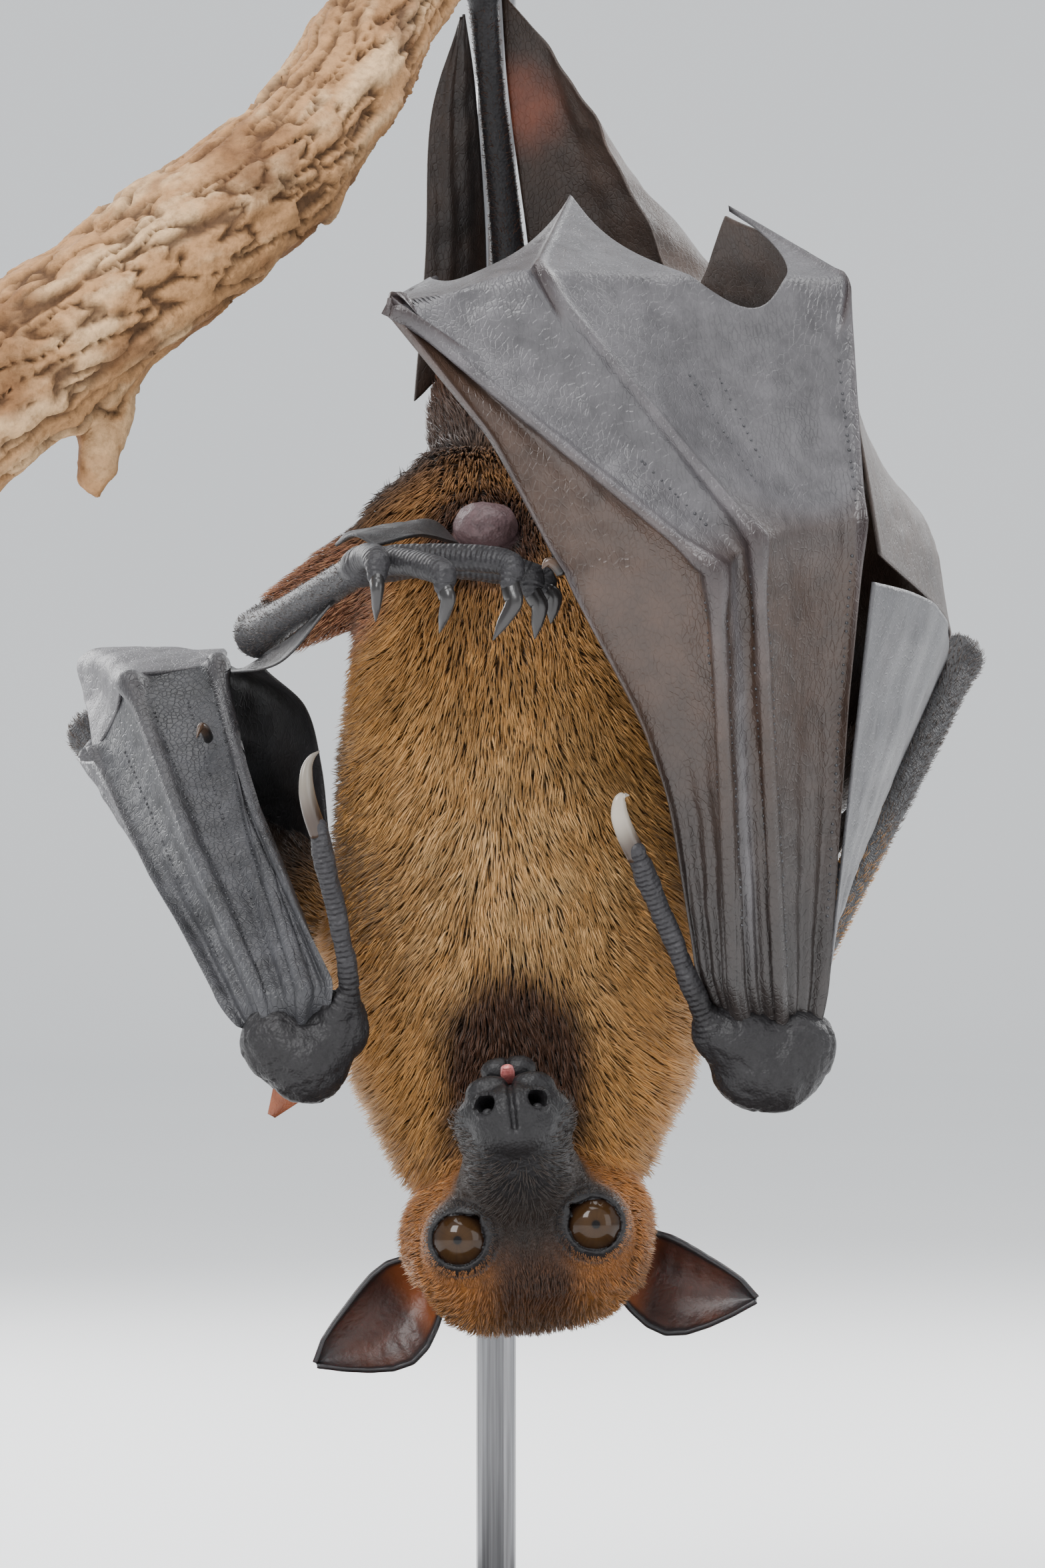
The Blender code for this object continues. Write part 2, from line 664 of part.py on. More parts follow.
def step_rows(paths, marks):
    """Points of every path at the given marks; a mark of 1.5 is half way along the second bone."""
    rows = []
    for mark in marks:
        row = []
        for path in paths:
            i = min(int(mark), len(path) - 2)
            row.append(path[i].lerp(path[i + 1], mark - i))
        rows.append(row)
    return rows


def bone_half(mark, joint_marks, thick, taper, knob):
    """Half thickness of a finger at a mark, swelling at its joints."""
    half = thick * (1 - taper * mark)
    for joint in joint_marks:
        half += knob * math.exp(-((mark - joint) / 0.075) ** 2)
    return max(half, SKIN + 0.05)


def fan(paths, marks, between, sag, scallop, bones, side=1):
    """Grid of a finger fan: paths are the leading edge and the fingers, between the number of
    membrane columns in each gap, sag their bow and scallop how far the free edge draws back."""
    last = marks[-1]
    grid, halves = [], []
    for mark in marks:
        row, half = [], []
        pts = step_rows(paths, [mark])[0]
        for f, path in enumerate(paths):
            thick, taper, knob, joints = bones[f]
            h = bone_half(mark, joints, thick, taper, knob)
            before = (pts[f] - pts[f - 1]).normalized() if f else None
            after = (pts[f + 1] - pts[f]).normalized() if f + 1 < len(paths) else None
            near = [(pts[f] - pts[g]).length for g in (f - 1, f + 1) if 0 <= g < len(paths)]
            spread = min(max(h * 1.15, 0.9), 0.4 * min(near))
            if before is None:
                row += [pts[f], pts[f] + after * spread]
                half += [max(h * 0.75, SKIN), SKIN]
            elif after is None:
                row += [pts[f] - before * spread, pts[f]]
                half += [SKIN, max(h, SKIN)]
            else:
                row += [pts[f] - before * spread, pts[f], pts[f] + after * spread]
                half += [SKIN, h, SKIN]
            if after is not None:
                for k in range(between[f]):
                    t = (k + 1) / (between[f] + 1)
                    depth, lean = scallop[f]
                    w = t ** lean
                    back = depth * (4 * w * (1 - w)) ** 0.8
                    drawn = mark if mark <= 1 else 1 + (mark - 1) * (last - 1 - back) / (last - 1)
                    a, b = step_rows([paths[f], paths[f + 1]], [drawn])[0]
                    row.append(a.lerp(b, t) + sag[f] * (4 * t * (1 - t)) * min(1.0, mark * 1.5))
                    half.append(SKIN)
        grid.append(row)
        halves.append(half)
    return grid, halves


def make_right_fan():
    start, mcp, ipj, tip = HAND_START["right"], MCP["right"], IPJ["right"], TIP["right"]
    edge = [start[0], V(30.8, -66, 192), V(24.6, -73, 209), mcp[0], V(-6.6, -83, 267.6), ipj[0], tip[0]]
    lead_marks = [0, 0.42, 0.66, 1.0, 1.42, 2.0, 3.0]
    lead = [start[0]]
    marks = [0, 0.16, 0.34, 0.52, 0.7, 0.88, 0.95, 1, 1.05, 1.15, 1.156, 1.4, 1.65, 1.86, 1.95, 2, 2.05, 2.2, 2.45, 2.7, 3]

    def lead_point(mark):
        for i in range(len(lead_marks) - 1):
            if mark <= lead_marks[i + 1]:
                t = (mark - lead_marks[i]) / (lead_marks[i + 1] - lead_marks[i])
                return edge[i].lerp(edge[i + 1], t)
        return edge[-1]

    lead = [lead_point(m) for m in (0, 1, 2, 3)]
    fingers = [[start[f], mcp[f], ipj[f], tip[f]] for f in (1, 2, 3)]
    bones = [(1.5, 0.2, 0.4, (1.0,)), (2.0, 0.22, 1.5, (1.0, 2.0)), (1.9, 0.22, 1.3, (1.0, 2.0)),
             (1.9, 0.2, 1.3, (1.0, 2.0))]
    grid, halves = fan([lead] + fingers, marks, (2, 2, 4), (V(2, 3, 0), V(0, 3, 0), V(0, 5, 0)), ((0, 1), (0.75, 1.0), (1.12, 1.6)), bones)
    for i, mark in enumerate(marks):
        straight = lead[min(int(mark), 2)].lerp(lead[min(int(mark), 2) + 1], mark - min(int(mark), 2))
        shift = lead_point(mark) - straight
        grid[i][0] += shift
        grid[i][1] += shift * 0.85
        grid[i][2] += shift * 0.6
        grid[i][3] += shift * 0.3
    split = marks.index(1.15)
    node("hand_wing_right", sheet(grid[:split + 1], halves[:split + 1]), SKIN_GREY, limit=430)
    node("wing_tip_right", sheet(grid[split + 1:], halves[split + 1:]), SKIN_GREY, limit=540)
    claw_at = mcp[0]
    claw = tube([claw_at + V(-0.8, 0, 0.8), claw_at + V(-3.0, -0.5, 2.4), claw_at + V(-4.4, -1, 1.2)], [1.3, 1.1, 0.4],
                sides=6)
    node("finger_claw_right", claw, HORN, 0.3, 30)


def make_left_fan():
    start, mcp = HAND_START["left"], MCP["left"]
    bend = (V(-58, -14, 190), None, None, None)
    paths = [[start[0], bend[0], mcp[0]]]
    for f in (1, 2, 3):
        mid = start[f].lerp(mcp[f], 0.5) + V(-1.5, -2.5, 0)
        paths.append([start[f], mid, mcp[f]])
    marks = [0, 0.3, 0.6, 0.9, 1.2, 1.5, 1.75, 1.9, 2.0]
    bones = [(1.6, 0.1, 0.5, (2.0,)), (2.0, 0.1, 1.3, (1.97,)), (2.0, 0.1, 1.5, (1.97,)), (1.9, 0.1, 1.2, (1.97,))]
    grid, halves = fan(paths, marks, (1, 3, 3), (V(0, 1, 0), V(1, 2, 0), V(1, 3, 0)), ((0, 1), (0.12, 1), (0.2, 1)), bones)
    node("hand_wing_left", sheet(grid, halves), SKIN_GREY, limit=420)
    claw = tube([V(-69, 8, 206), V(-70, 4, 207.5), V(-71, 2.5, 205.5)], [1.3, 1.1, 0.4], sides=6)
    node("finger_claw_left", claw, HORN, 0.3, 30)
    rows = []
    for t in (0, 0.33, 0.66, 1.0):
        near = lerp_path([V(-95, 48, 202), V(-87.5, 31, 219), V(-68.5, 35, 222.5)], 7)
        far = lerp_path([V(-98, 66, 214), V(-97.5, 78, 224.5), V(-66, 58, 224)], 7)
        rows.append([near[k].lerp(far[k], t) + V(0, 0, 2.0 * math.sin(math.pi * t)) for k in range(7)])
    node("wing_fold_left", sheet(rows, 0.6), SKIN_GREY, limit=110)
    rows = []
    for i in range(6):
        t = i / 5
        left = V(-86, 36, 214).lerp(V(-66, 24, 160), t)
        right = V(-69, 38, 219).lerp(V(-52, 8, 157), t)
        rows.append([left.lerp(right, k / 4) + V(0, 2.5 * math.sin(math.pi * k / 4), 0) for k in range(5)])
    node("wing_tip_left", sheet(rows, 0.9), SKIN_GREY, limit=120)


# ---------------------------------------------------------------- arm, flank and tail membranes
def coons(top, low, left, right, rows, cols):
    """Surface filling four border curves that share their corners."""
    top, low = lerp_path(top, cols), lerp_path(low, cols)
    left, right = lerp_path(left, rows), lerp_path(right, rows)
    grid = []
    for i in range(rows):
        v = i / (rows - 1)
        line = []
        for j in range(cols):
            u = j / (cols - 1)
            blend = top[j] * (1 - v) + low[j] * v + left[i] * (1 - u) + right[i] * u
            corner = (top[0] * (1 - u) + top[-1] * u) * (1 - v) + (low[0] * (1 - u) + low[-1] * u) * v
            line.append(blend - corner)
        grid.append(line)
    return grid


def make_membranes():
    # between the forearm and the fifth finger
    for label, far_start, near_start, far_end, near_end, sag in (
            ("right", V(60, -30, 152), V(65, -43, 150), V(95, 66, 223), V(74.5, -52, 238), V(6, 0, 3)),
            ("left", V(-57, -24, 150), V(-65.5, -32, 151), V(-96, 74, 206), V(-95, 49, 200), V(-4, 0, -2))):
        rows = []
        for i in range(8):
            t = i / 7
            a, b = near_start.lerp(near_end, t), far_start.lerp(far_end, t)
            rows.append([a.lerp(b, k / 5) + sag * math.sin(math.pi * k / 5) * t for k in range(6)])
        node("arm_membrane_" + label, sheet(rows, SKIN), SKIN_GREY, limit=170)
    # flank membranes, from the leg and side of the body to the fifth finger and upper arm
    top = [V(-4.6, 45, 371), V(8, 40, 355), V(20, 33, 334), V(33, 20, 306), V(38, 2, 303), V(44, -12, 318)]
    low = [V(36, 22, 172), V(66, 47, 198), V(90, 72, 222), V(94, 30, 230), V(76, -47, 244)]
    left = [top[0], V(-3.2, 51, 350), V(0.4, 59, 322), V(4.2, 65, 297), V(14, 50, 268), V(36, 30, 235), low[0]]
    right = [top[-1], V(66, -42, 304), V(71, -46, 275), low[-1]]
    grid = coons(top, low, left, right, 16, 12)
    for i, line in enumerate(grid):
        for j, p in enumerate(line):
            p += V(0, 3.0 * math.sin(math.pi * i / 15) * math.sin(2.4 * math.pi * j / 11), 0)
    node("flank_membrane_right", sheet(grid, SKIN), WING_BROWN, limit=540)
    inner = lerp_path([V(-38, -52, 236.5), V(-49, -20, 227.5), V(-57, 8, 221.5), V(-48, 24, 212), V(-44.5, 29, 199),
                       V(-43, 29, 185), V(-42, 27, 175)], 12)
    outer = lerp_path([V(-41, -49, 233), V(-52, -20, 221.5), V(-63, 8, 219.5), V(-67, 52, 221), V(-90, 71, 215),
                       V(-66, 55, 193), V(-46, 32, 177)], 12)
    rows = [[a.lerp(b, k / 6) + V(0, 2.5, 0) * math.sin(math.pi * k / 6) for k in range(7)] for a, b in zip(inner, outer)]
    node("flank_membrane_left", sheet(rows, SKIN), WING_BROWN, limit=360)
    # shoulder to wrist
    for label, s in (("right", 1), ("left", -1)):
        shoulder, elbow, wrist = SHOULDER[label], ELBOW[label], WRIST[label]
        arm, fore = (elbow - shoulder).normalized(), (elbow - wrist).normalized()
        to_wrist = ((wrist - shoulder) - arm * arm.dot(wrist - shoulder)).normalized()
        to_shoulder = ((shoulder - wrist) - fore * fore.dot(shoulder - wrist)).normalized()
        rows = []
        for i in range(7):
            t = 0.16 + 0.72 * i / 6
            a = shoulder.lerp(elbow, t) + to_wrist * (16.6 - 8.5 * t)
            b = wrist.lerp(elbow, t) + to_shoulder * 6.9
            rows.append([a.lerp(b, k / 5) + V(s, 0, -4) * math.sin(math.pi * k / 5) * (1 - t) for k in range(6)])
        node("front_membrane_" + label, sheet(rows, SKIN), WING_BROWN, limit=110)
    flap = [[V(-53, -30, 133).lerp(V(-47, -28, 128), k / 3) for k in range(4)],
            [V(-53.5, -28, 130).lerp(V(-48.5, -27, 126.5), k / 3) for k in range(4)],
            [V(-54.6, -27, 124).lerp(V(-53.4, -27, 123.4), k / 3) for k in range(4)]]
    node("wrist_fold_left", sheet(flap, 0.5), (0.25, 0.08, 0.03))
    # tail membranes beside each shin
    rows = []
    for i in range(8):
        t = i / 7
        inner = lerp_path([V(-13, 45, 366), V(-10.7, 51, 350), V(-8.6, 59, 322), V(-8, 64, 296)], 8)[i]
        outer = lerp_path([V(-14, 44, 364), V(-20.4, 46, 343), V(-21.6, 47, 312), V(-24, 44, 280)], 8)[i]
        rows.append([inner.lerp(outer, k / 3) + V(0, -1.5 * math.sin(math.pi * k / 3), 0) for k in range(4)])
    node("tail_membrane_right", sheet(rows, SKIN), WING_BROWN, limit=110)
    rows = [lerp_path([V(-40, -40, 246), V(-37, -30, 249), V(-30, -16, 250)], 5),
            lerp_path([V(-36, -52, 248), V(-28, -36, 250), V(-20, -14, 252)], 5),
            lerp_path([V(-31, -58, 245.5), V(-22, -44, 248), V(-14, -12, 247)], 5)]
    node("tail_membrane_left", sheet(rows, 0.6), SKIN_BLACK)


make_stand()
make_perch()
make_rod()
make_face()
make_trunk()
make_legs()
make_feet()
make_arms()
make_hands()
make_right_fan()
make_left_fan()
make_membranes()
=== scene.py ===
"""Finish of a hanging fruit bat: one skin, a coat of mesh tufts, wings, eyes, claws, perch and studio.

Shapes are worked out in millimetres and scaled to metres when a piece is made.
The animal hangs head down and faces -Y; names ending _right are the animal's right, at +X.
"""

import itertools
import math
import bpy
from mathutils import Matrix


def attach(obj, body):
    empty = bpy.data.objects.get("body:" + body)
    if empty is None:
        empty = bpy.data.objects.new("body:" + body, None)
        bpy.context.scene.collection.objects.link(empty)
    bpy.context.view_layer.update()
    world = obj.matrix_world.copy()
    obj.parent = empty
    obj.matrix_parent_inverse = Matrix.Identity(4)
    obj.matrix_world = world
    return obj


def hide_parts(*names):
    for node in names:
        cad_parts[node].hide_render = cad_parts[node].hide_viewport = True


bl_info = {
    "name": "Hanging Fruit Bat",
    "version": (1, 0, 0),
    "blender": (4, 5, 0),
    "location": "View3D > Sidebar > Bat",
    "description": "Dresses the packed solids of a hanging fruit bat with skin, coat, wings and a studio",
    "category": "Object",
}

import bmesh
import bpy
import numpy as np
import openvdb
from bpy.props import FloatProperty, PointerProperty
from bpy.types import Operator, Panel, PropertyGroup
from mathutils import Vector

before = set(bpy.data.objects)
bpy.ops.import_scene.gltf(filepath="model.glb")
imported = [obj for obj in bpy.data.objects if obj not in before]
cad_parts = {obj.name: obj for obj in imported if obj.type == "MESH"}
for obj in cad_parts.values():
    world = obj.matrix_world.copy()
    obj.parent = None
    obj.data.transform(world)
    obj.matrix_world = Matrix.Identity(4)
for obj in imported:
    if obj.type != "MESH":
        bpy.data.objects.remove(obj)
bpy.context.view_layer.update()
MM = 0.001
SIDES = {"right": 1, "left": -1}


def vec(*xyz):
    return np.array(xyz, float)


# ---------------------------------------------------------------- landmarks, millimetres
EYES_MID = vec(0.9, -35, 99.4)
HEAD_AXES = np.array([[0.9936, 0.0, 0.1132], [-0.0617, -0.8390, 0.5415], [0.0950, -0.5450, -0.8336]])
EYE_AT = vec(14.1, 1.6, 1.2)          # across, forward, towards the crown
EYE_RADIUS = 7.4
EYE_OPENING = 5.7
GAZE = vec(0.10, 0.84, 0.535)
SHOULDER = {"right": vec(28, 10, 158), "left": vec(-28, 10, 158)}
ELBOW = {"right": vec(98, 75, 223), "left": vec(-97, 82, 206)}
WRIST = {"right": vec(52, -46, 138), "left": vec(-47, -41, 136)}
HIP = {"right": vec(-4, 26, 258), "left": vec(-18, 24, 250)}
KNEE = {"right": vec(-2, 65, 296), "left": vec(-57.5, 8, 228)}
ANKLE = {"right": vec(-9, 45, 372), "left": vec(-34, -64, 241)}
EAR_ROOT = {"right": vec(22, -10, 91.5), "left": vec(-21, -10, 87.5)}
EAR_TIP = {"right": vec(50.6, -17, 83.6), "left": vec(-44.6, -17, 69.6)}
WRIST_BLOBS = {
    "right": ((vec(52, -47, 134), vec(12, 9.5, 9.5)), (vec(57, -46, 139), vec(10.5, 9, 9)),
              (vec(46, -50, 141), vec(9, 7.5, 8))),
    "left": ((vec(-46, -43, 136), vec(9.5, 8.5, 9.5)), (vec(-52, -42, 140), vec(8.5, 8, 9)),
             (vec(-40, -43, 143), vec(7.5, 7, 8))),
}
THUMB = {
    "right": (vec(40, -52, 142), vec(36, -57, 152), vec(28, -63, 171), vec(24, -68, 181)),
    "left": (vec(-38, -47, 148), vec(-37, -50, 154), vec(-40.5, -56, 172), vec(-43.5, -61, 186)),
}
THUMB_CLAW = {
    "right": (vec(24.3, -67.5, 179.5), vec(20.8, -70, 187), vec(20.6, -71, 192), vec(22.5, -70, 192.6)),
    "left": (vec(-43.2, -60.5, 184.5), vec(-45.5, -63, 192), vec(-45.5, -63, 199), vec(-43, -61, 202)),
}
GRIP_DIR = vec(0.65, 0.43, 0.63) / np.linalg.norm((0.65, 0.43, 0.63))
GRIP_MID = vec(-12.5, 28.2, 384.2)
GRIP_BACK = vec(0.105, 0.79, -0.61)
FREE_TOES = (
    # knuckle, claw bend, claw tip
    (vec(-30.6, -83, 240.8), vec(-30.4, -86, 235.5), vec(-30.8, -84, 229.0)),
    (vec(-17.2, -86, 238.6), vec(-15.6, -88, 233.5), vec(-17.4, -85, 226.6)),
    (vec(-3.4, -78, 240.6), vec(-1.8, -80, 233.0), vec(-6.2, -78, 225.2)),
    (vec(0.4, -67, 238.6), vec(3.6, -68, 232.5), vec(2.6, -66, 225.6)),
    (vec(2.8, -57, 238.0), vec(6.6, -58, 234.5), vec(6.0, -57, 229.0)),
)
TRUNK = np.array((
    # height, centre x, half width, centre y, half depth, out to the tips of the coat
    (104, 0, 20, -13, 17), (108, 0, 25, -12, 21), (114, 0, 30, -10, 25), (121, -0.5, 33, -8, 28),
    (130, 0, 38, -3, 31), (142, 0, 40.5, 2, 33), (160, 0, 42, 5, 34.5), (185, 0, 42.5, 7, 34.5),
    (205, 0, 41.5, 9, 33), (225, -1, 38.5, 12, 30.5), (243, -3, 33.5, 17, 27.5), (256, -5, 29, 22, 24),
    (266, -6, 20, 26, 19), (271, -7, 10, 28, 10),
), float)
COAT_DEPTH = 5.0


# ---------------------------------------------------------------- small maths
def smoothstep(x, low, high):
    t = np.clip((x - low) / (high - low), 0.0, 1.0)
    return t * t * (3.0 - 2.0 * t)


def bell(x, width):
    return np.exp(-np.square(x / width))


def normalised(rows):
    return rows / np.maximum(np.linalg.norm(rows, axis=-1, keepdims=True), 1e-9)


def lattice(cell, seed):
    """A fixed random number from -1 to 1 for each whole-number cell."""
    h = cell[..., 0] * 374761393 + cell[..., 1] * 668265263 + cell[..., 2] * 1440662683 + seed * 974634777
    h = (h ^ (h >> 13)) * 1274126177
    h = (h ^ (h >> 16)) & 0xFFFF
    return h / 32767.5 - 1.0


def noise(p, size, seed=0):
    """Smooth random values from -1 to 1, with features of about the given size."""
    q = np.asarray(p, float) / size
    base = np.floor(q).astype(np.int64)
    frac = q - base
    w = frac * frac * (3.0 - 2.0 * frac)
    total = 0.0
    for corner in itertools.product((0, 1), repeat=3):
        share = np.ones(q.shape[:-1])
        for axis, up in enumerate(corner):
            share = share * (w[..., axis] if up else 1.0 - w[..., axis])
        total = total + share * lattice(base + np.array(corner), seed)
    return total


def layered_noise(p, size, seed=0, layers=3):
    total = 0.0
    for k in range(layers):
        total = total + noise(p, size / 2 ** k, seed + k) / 2 ** k
    return total


def smooth_path(points, count):
    """Catmull-Rom samples through the points, evenly spread over the spans."""
    pts = [np.asarray(p, float) for p in points]
    ends = [pts[0] * 2 - pts[1]] + pts + [pts[-1] * 2 - pts[-2]]
    spans = len(pts) - 1
    out = []
    for s in np.linspace(0, spans, count):
        i = min(int(s), spans - 1)
        t = s - i
        a, b, c, d = ends[i:i + 4]
        out.append(0.5 * (2 * b + (c - a) * t + (2 * a - 5 * b + 4 * c - d) * t * t
                          + (3 * b - a - 3 * c + d) * t ** 3))
    return np.array(out)


def spread(values, count):
    """Values interpolated evenly to the given count."""
    return np.interp(np.linspace(0, len(values) - 1, count), np.arange(len(values)), values)


# ---------------------------------------------------------------- distance fields of the flesh
def ellipsoid(p, centre, radii):
    q = p - centre
    near = np.linalg.norm(q / radii, axis=1)
    slope = np.linalg.norm(q / np.square(radii), axis=1) + 1e-6
    return near * (near - 1.0) / slope


def limb(p, points, radii):
    """Distance to a chain of tapered lengths."""
    best = np.full(len(p), 1e3)
    for a, b, ra, rb in zip(points[:-1], points[1:], radii[:-1], radii[1:]):
        ab = b - a
        t = np.clip((p - a) @ ab / (ab @ ab), 0.0, 1.0)
        gap = p - a - t[:, None] * ab
        best = np.minimum(best, np.sqrt(np.einsum("ij,ij->i", gap, gap)) - (ra + (rb - ra) * t))
    return best


def blend(a, b, reach):
    """Smooth union of two distance fields."""
    h = np.clip(0.5 + 0.5 * (b - a) / reach, 0.0, 1.0)
    return b + (a - b) * h - reach * h * (1.0 - h)


def head_local(p):
    return (p - EYES_MID) @ HEAD_AXES.T


def head_world(q):
    return EYES_MID + np.asarray(q, float) @ HEAD_AXES


MUZZLE = ((0, -6, -8), (0, 8, -8.5), (0, 18, -9.8), (0, 26, -11.0), (0, 29.5, -11.6))
MUZZLE_RADII = (13.4, 11.6, 10.0, 8.4, 6.4)
JAW = ((0, -8, -18.5), (0, 8, -21.0), (0, 19, -22.6), (0, 25.4, -23.9))
JAW_RADII = (8.0, 6.4, 5.0, 3.6)
NOSTRIL_AT = vec(4.8, 31.2, -12.9)
NOSTRIL_AXIS = vec(0.34, 0.86, 0.26)


def eye_distances(a):
    """Distance from the eyeball's centre, and from the line of sight, on the mirrored half head."""
    q = a - EYE_AT
    gaze = GAZE / np.linalg.norm(GAZE)
    along = q @ gaze
    flat = q - along[:, None] * gaze
    return np.linalg.norm(q, axis=1), along, flat


def eye_opening(along, flat):
    """Signed distance to the lid opening: a round with a drawn-out inner corner."""
    corner = vec(-0.72, 0.37, -0.58)
    gaze = GAZE / np.linalg.norm(GAZE)
    corner = corner - gaze * (corner @ gaze)
    corner = corner / np.linalg.norm(corner)
    t = np.clip((flat @ corner) / 6.4, 0.0, 1.0)
    gap = flat - t[:, None] * corner * 6.4
    slit = np.linalg.norm(gap, axis=1) - (1.8 - 1.3 * t)
    return np.maximum(blend(np.linalg.norm(flat, axis=1) - EYE_OPENING, slit, 1.6), -along)


def head_field(p):
    q = head_local(p)
    a = q.copy()
    a[:, 0] = np.abs(a[:, 0])
    skull = ellipsoid(q, vec(0, -14, -3), vec(23.5, 20.5, 15.8))
    skull = blend(skull, ellipsoid(a, vec(11, -11, -8), vec(14.2, 13.2, 12.4)), 5.0)
    skull = blend(skull, ellipsoid(a, vec(11, -12, 2), vec(10.4, 14.2, 11.2)), 5.0)
    skull = blend(skull, ellipsoid(a, vec(14.3, -5.5, 0.5), vec(8.6, 8.6, 8.8)), 4.0)
    reach, along, flat = eye_distances(a)
    skull = blend(skull, reach - (EYE_RADIUS + 0.8), 3.0)
    slim = a.copy()
    slim[:, 0] = slim[:, 0] / 1.12
    muzzle = limb(slim, [vec(*m) for m in MUZZLE], MUZZLE_RADII)
    muzzle = blend(muzzle, ellipsoid(a, vec(6.6, 20.5, -15.2), vec(6.2, 9.5, 4.6)), 3.0)
    muzzle = blend(muzzle, ellipsoid(a, vec(4.4, 28.0, -18.4), vec(5.2, 4.4, 3.1)), 1.6)
    muzzle = blend(muzzle, ellipsoid(q, vec(0, 29.0, -7.4), vec(5.4, 4.4, 4.6)), 1.6)
    axis = NOSTRIL_AXIS / np.linalg.norm(NOSTRIL_AXIS)
    muzzle = blend(muzzle, limb(a, [NOSTRIL_AT - axis * 3.0, NOSTRIL_AT + axis * 1.7], [3.6, 3.15]), 0.5)
    head = blend(skull, muzzle, 6.0)
    hole = limb(a, [NOSTRIL_AT + axis * 6.0, NOSTRIL_AT + axis * 2.6, NOSTRIL_AT - axis * 2.6], [2.7, 2.3, 1.6])
    head = -blend(-head, hole, 0.9)
    curl = ellipsoid(a, NOSTRIL_AT + vec(0.5, 0.5, 1.9), vec(1.2, 1.3, 0.9))
    head = blend(head, curl, 0.4)
    wide = a.copy()
    wide[:, 0] = wide[:, 0] / 1.5
    jaw = limb(wide, [vec(*m) for m in JAW], JAW_RADII)
    jaw = blend(jaw, ellipsoid(a, vec(2.5, 27.0, -24.3), vec(3.3, 2.6, 2.4)), 1.2)
    head = blend(head, jaw, 1.0)
    # mouth line, philtrum and lid folds are pressed into the finished surface
    mouth = -21.6 + 0.17 * (31 - q[:, 1]) + 0.5 * bell(q[:, 0], 2.0)
    head = head + 1.25 * bell(q[:, 2] - mouth, 0.55) * smoothstep(q[:, 1], 3, 9)
    centre = smoothstep(q[:, 1], 24, 28) * smoothstep(q[:, 2], -22.5, -20.5) * smoothstep(-q[:, 2], 4, 7)
    head = head + 1.2 * bell(q[:, 0], 0.75) * centre
    head = head + 0.55 * bell(q[:, 0], 0.45) * smoothstep(q[:, 1], 24, 27) * smoothstep(-q[:, 2], 22, 23.5)
    opening = eye_opening(along, flat)
    around = np.linalg.norm(flat, axis=1)
    facing = smoothstep(along, 1.0, 4.0) * smoothstep(-reach, -13.5, -9.5)
    head = head + 0.38 * bell(around - 8.0, 0.42) * facing
    head = head + 0.25 * bell(around - 9.9, 0.5) * facing
    socket = np.maximum(opening, (EYE_RADIUS - 0.35) - reach)
    return -blend(-head, socket, 0.55)


def trunk_field(p):
    z = p[:, 2]
    cx, hw, cy, hd = (np.interp(z, TRUNK[:, 0], TRUNK[:, k]) for k in (1, 2, 3, 4))
    hw = np.maximum(hw - COAT_DEPTH, 2.0)
    hd = np.maximum(hd - COAT_DEPTH, 2.0)
    x, y = p[:, 0] - cx, p[:, 1] - cy
    across = np.hypot(x, y)
    share = np.hypot(x / hw, y / hd) + 1e-6
    wall = across * (1.0 - 1.0 / share)
    body = np.maximum(wall, np.maximum(z - (TRUNK[-1, 0] - 4.0), TRUNK[0, 0] - z))
    for centre, radii in ((vec(-19, 22, 250), (17, 15, 13)), (vec(6, 24, 250), (20, 17, 14))):
        body = blend(body, ellipsoid(p, centre, np.array(radii, float) - 4.6), 5.0)
    for side in SIDES:
        body = blend(body, ellipsoid(p, SHOULDER[side] - vec(0, 0, 2), vec(10.6, 12.6, 14.6)), 6.0)
    return body


def nub_field(p):
    nub = ellipsoid(p, vec(-8, -2.5, 251), vec(7.0, 8.4, 5.4))
    return nub + 0.7 * bell(np.linalg.norm(p - vec(-8.6, -10.6, 250.4), axis=1), 1.1)


def limb_group(points, radii, samples):
    path = smooth_path(points, samples)
    sizes = spread(radii, samples)

    def field(p):
        return limb(p, path, sizes)
    return field, path.min(0) - max(radii), path.max(0) + max(radii)


def thigh_right():
    return limb_group([HIP["right"], vec(-8.5, 42, 274), vec(-8, 55, 287), KNEE["right"]],
                      [13, 11.6, 9, 4.8], 9)


def thigh_left():
    return limb_group([HIP["left"], vec(-36, 20, 240), KNEE["left"]], [10.6, 9.2, 4.8], 8)


def shin_right():
    return limb_group([KNEE["right"], vec(-4, 59, 322), vec(-7, 51, 350), ANKLE["right"]],
                      [4.6, 3.6, 2.9, 3.4], 9)


def shin_left():
    return limb_group([KNEE["left"], vec(-50, -20, 232), ANKLE["left"]], [4.8, 3.8, 3.4], 9)


def upper_arm(side):
    shoulder, elbow = SHOULDER[side], ELBOW[side]
    points = [shoulder + (elbow - shoulder) * t for t in (0, 0.35, 0.7, 1)]
    return limb_group(points, [10.6, 8.2, 5.4, 5.0], 8)


def forearm(side):
    elbow, wrist = ELBOW[side], WRIST[side]
    points = [elbow + (wrist - elbow) * t for t in (0, 0.3, 0.7, 0.97)]
    return limb_group(points, [4.9, 4.7, 3.8, 4.2], 8)


def grip_point(along, angle, reach):
    back = GRIP_BACK - GRIP_DIR * (GRIP_BACK @ GRIP_DIR)
    back = back / np.linalg.norm(back)
    over = np.cross(GRIP_DIR, back)
    a = math.radians(angle)
    return GRIP_MID + GRIP_DIR * along + (back * math.cos(a) + over * math.sin(a)) * reach


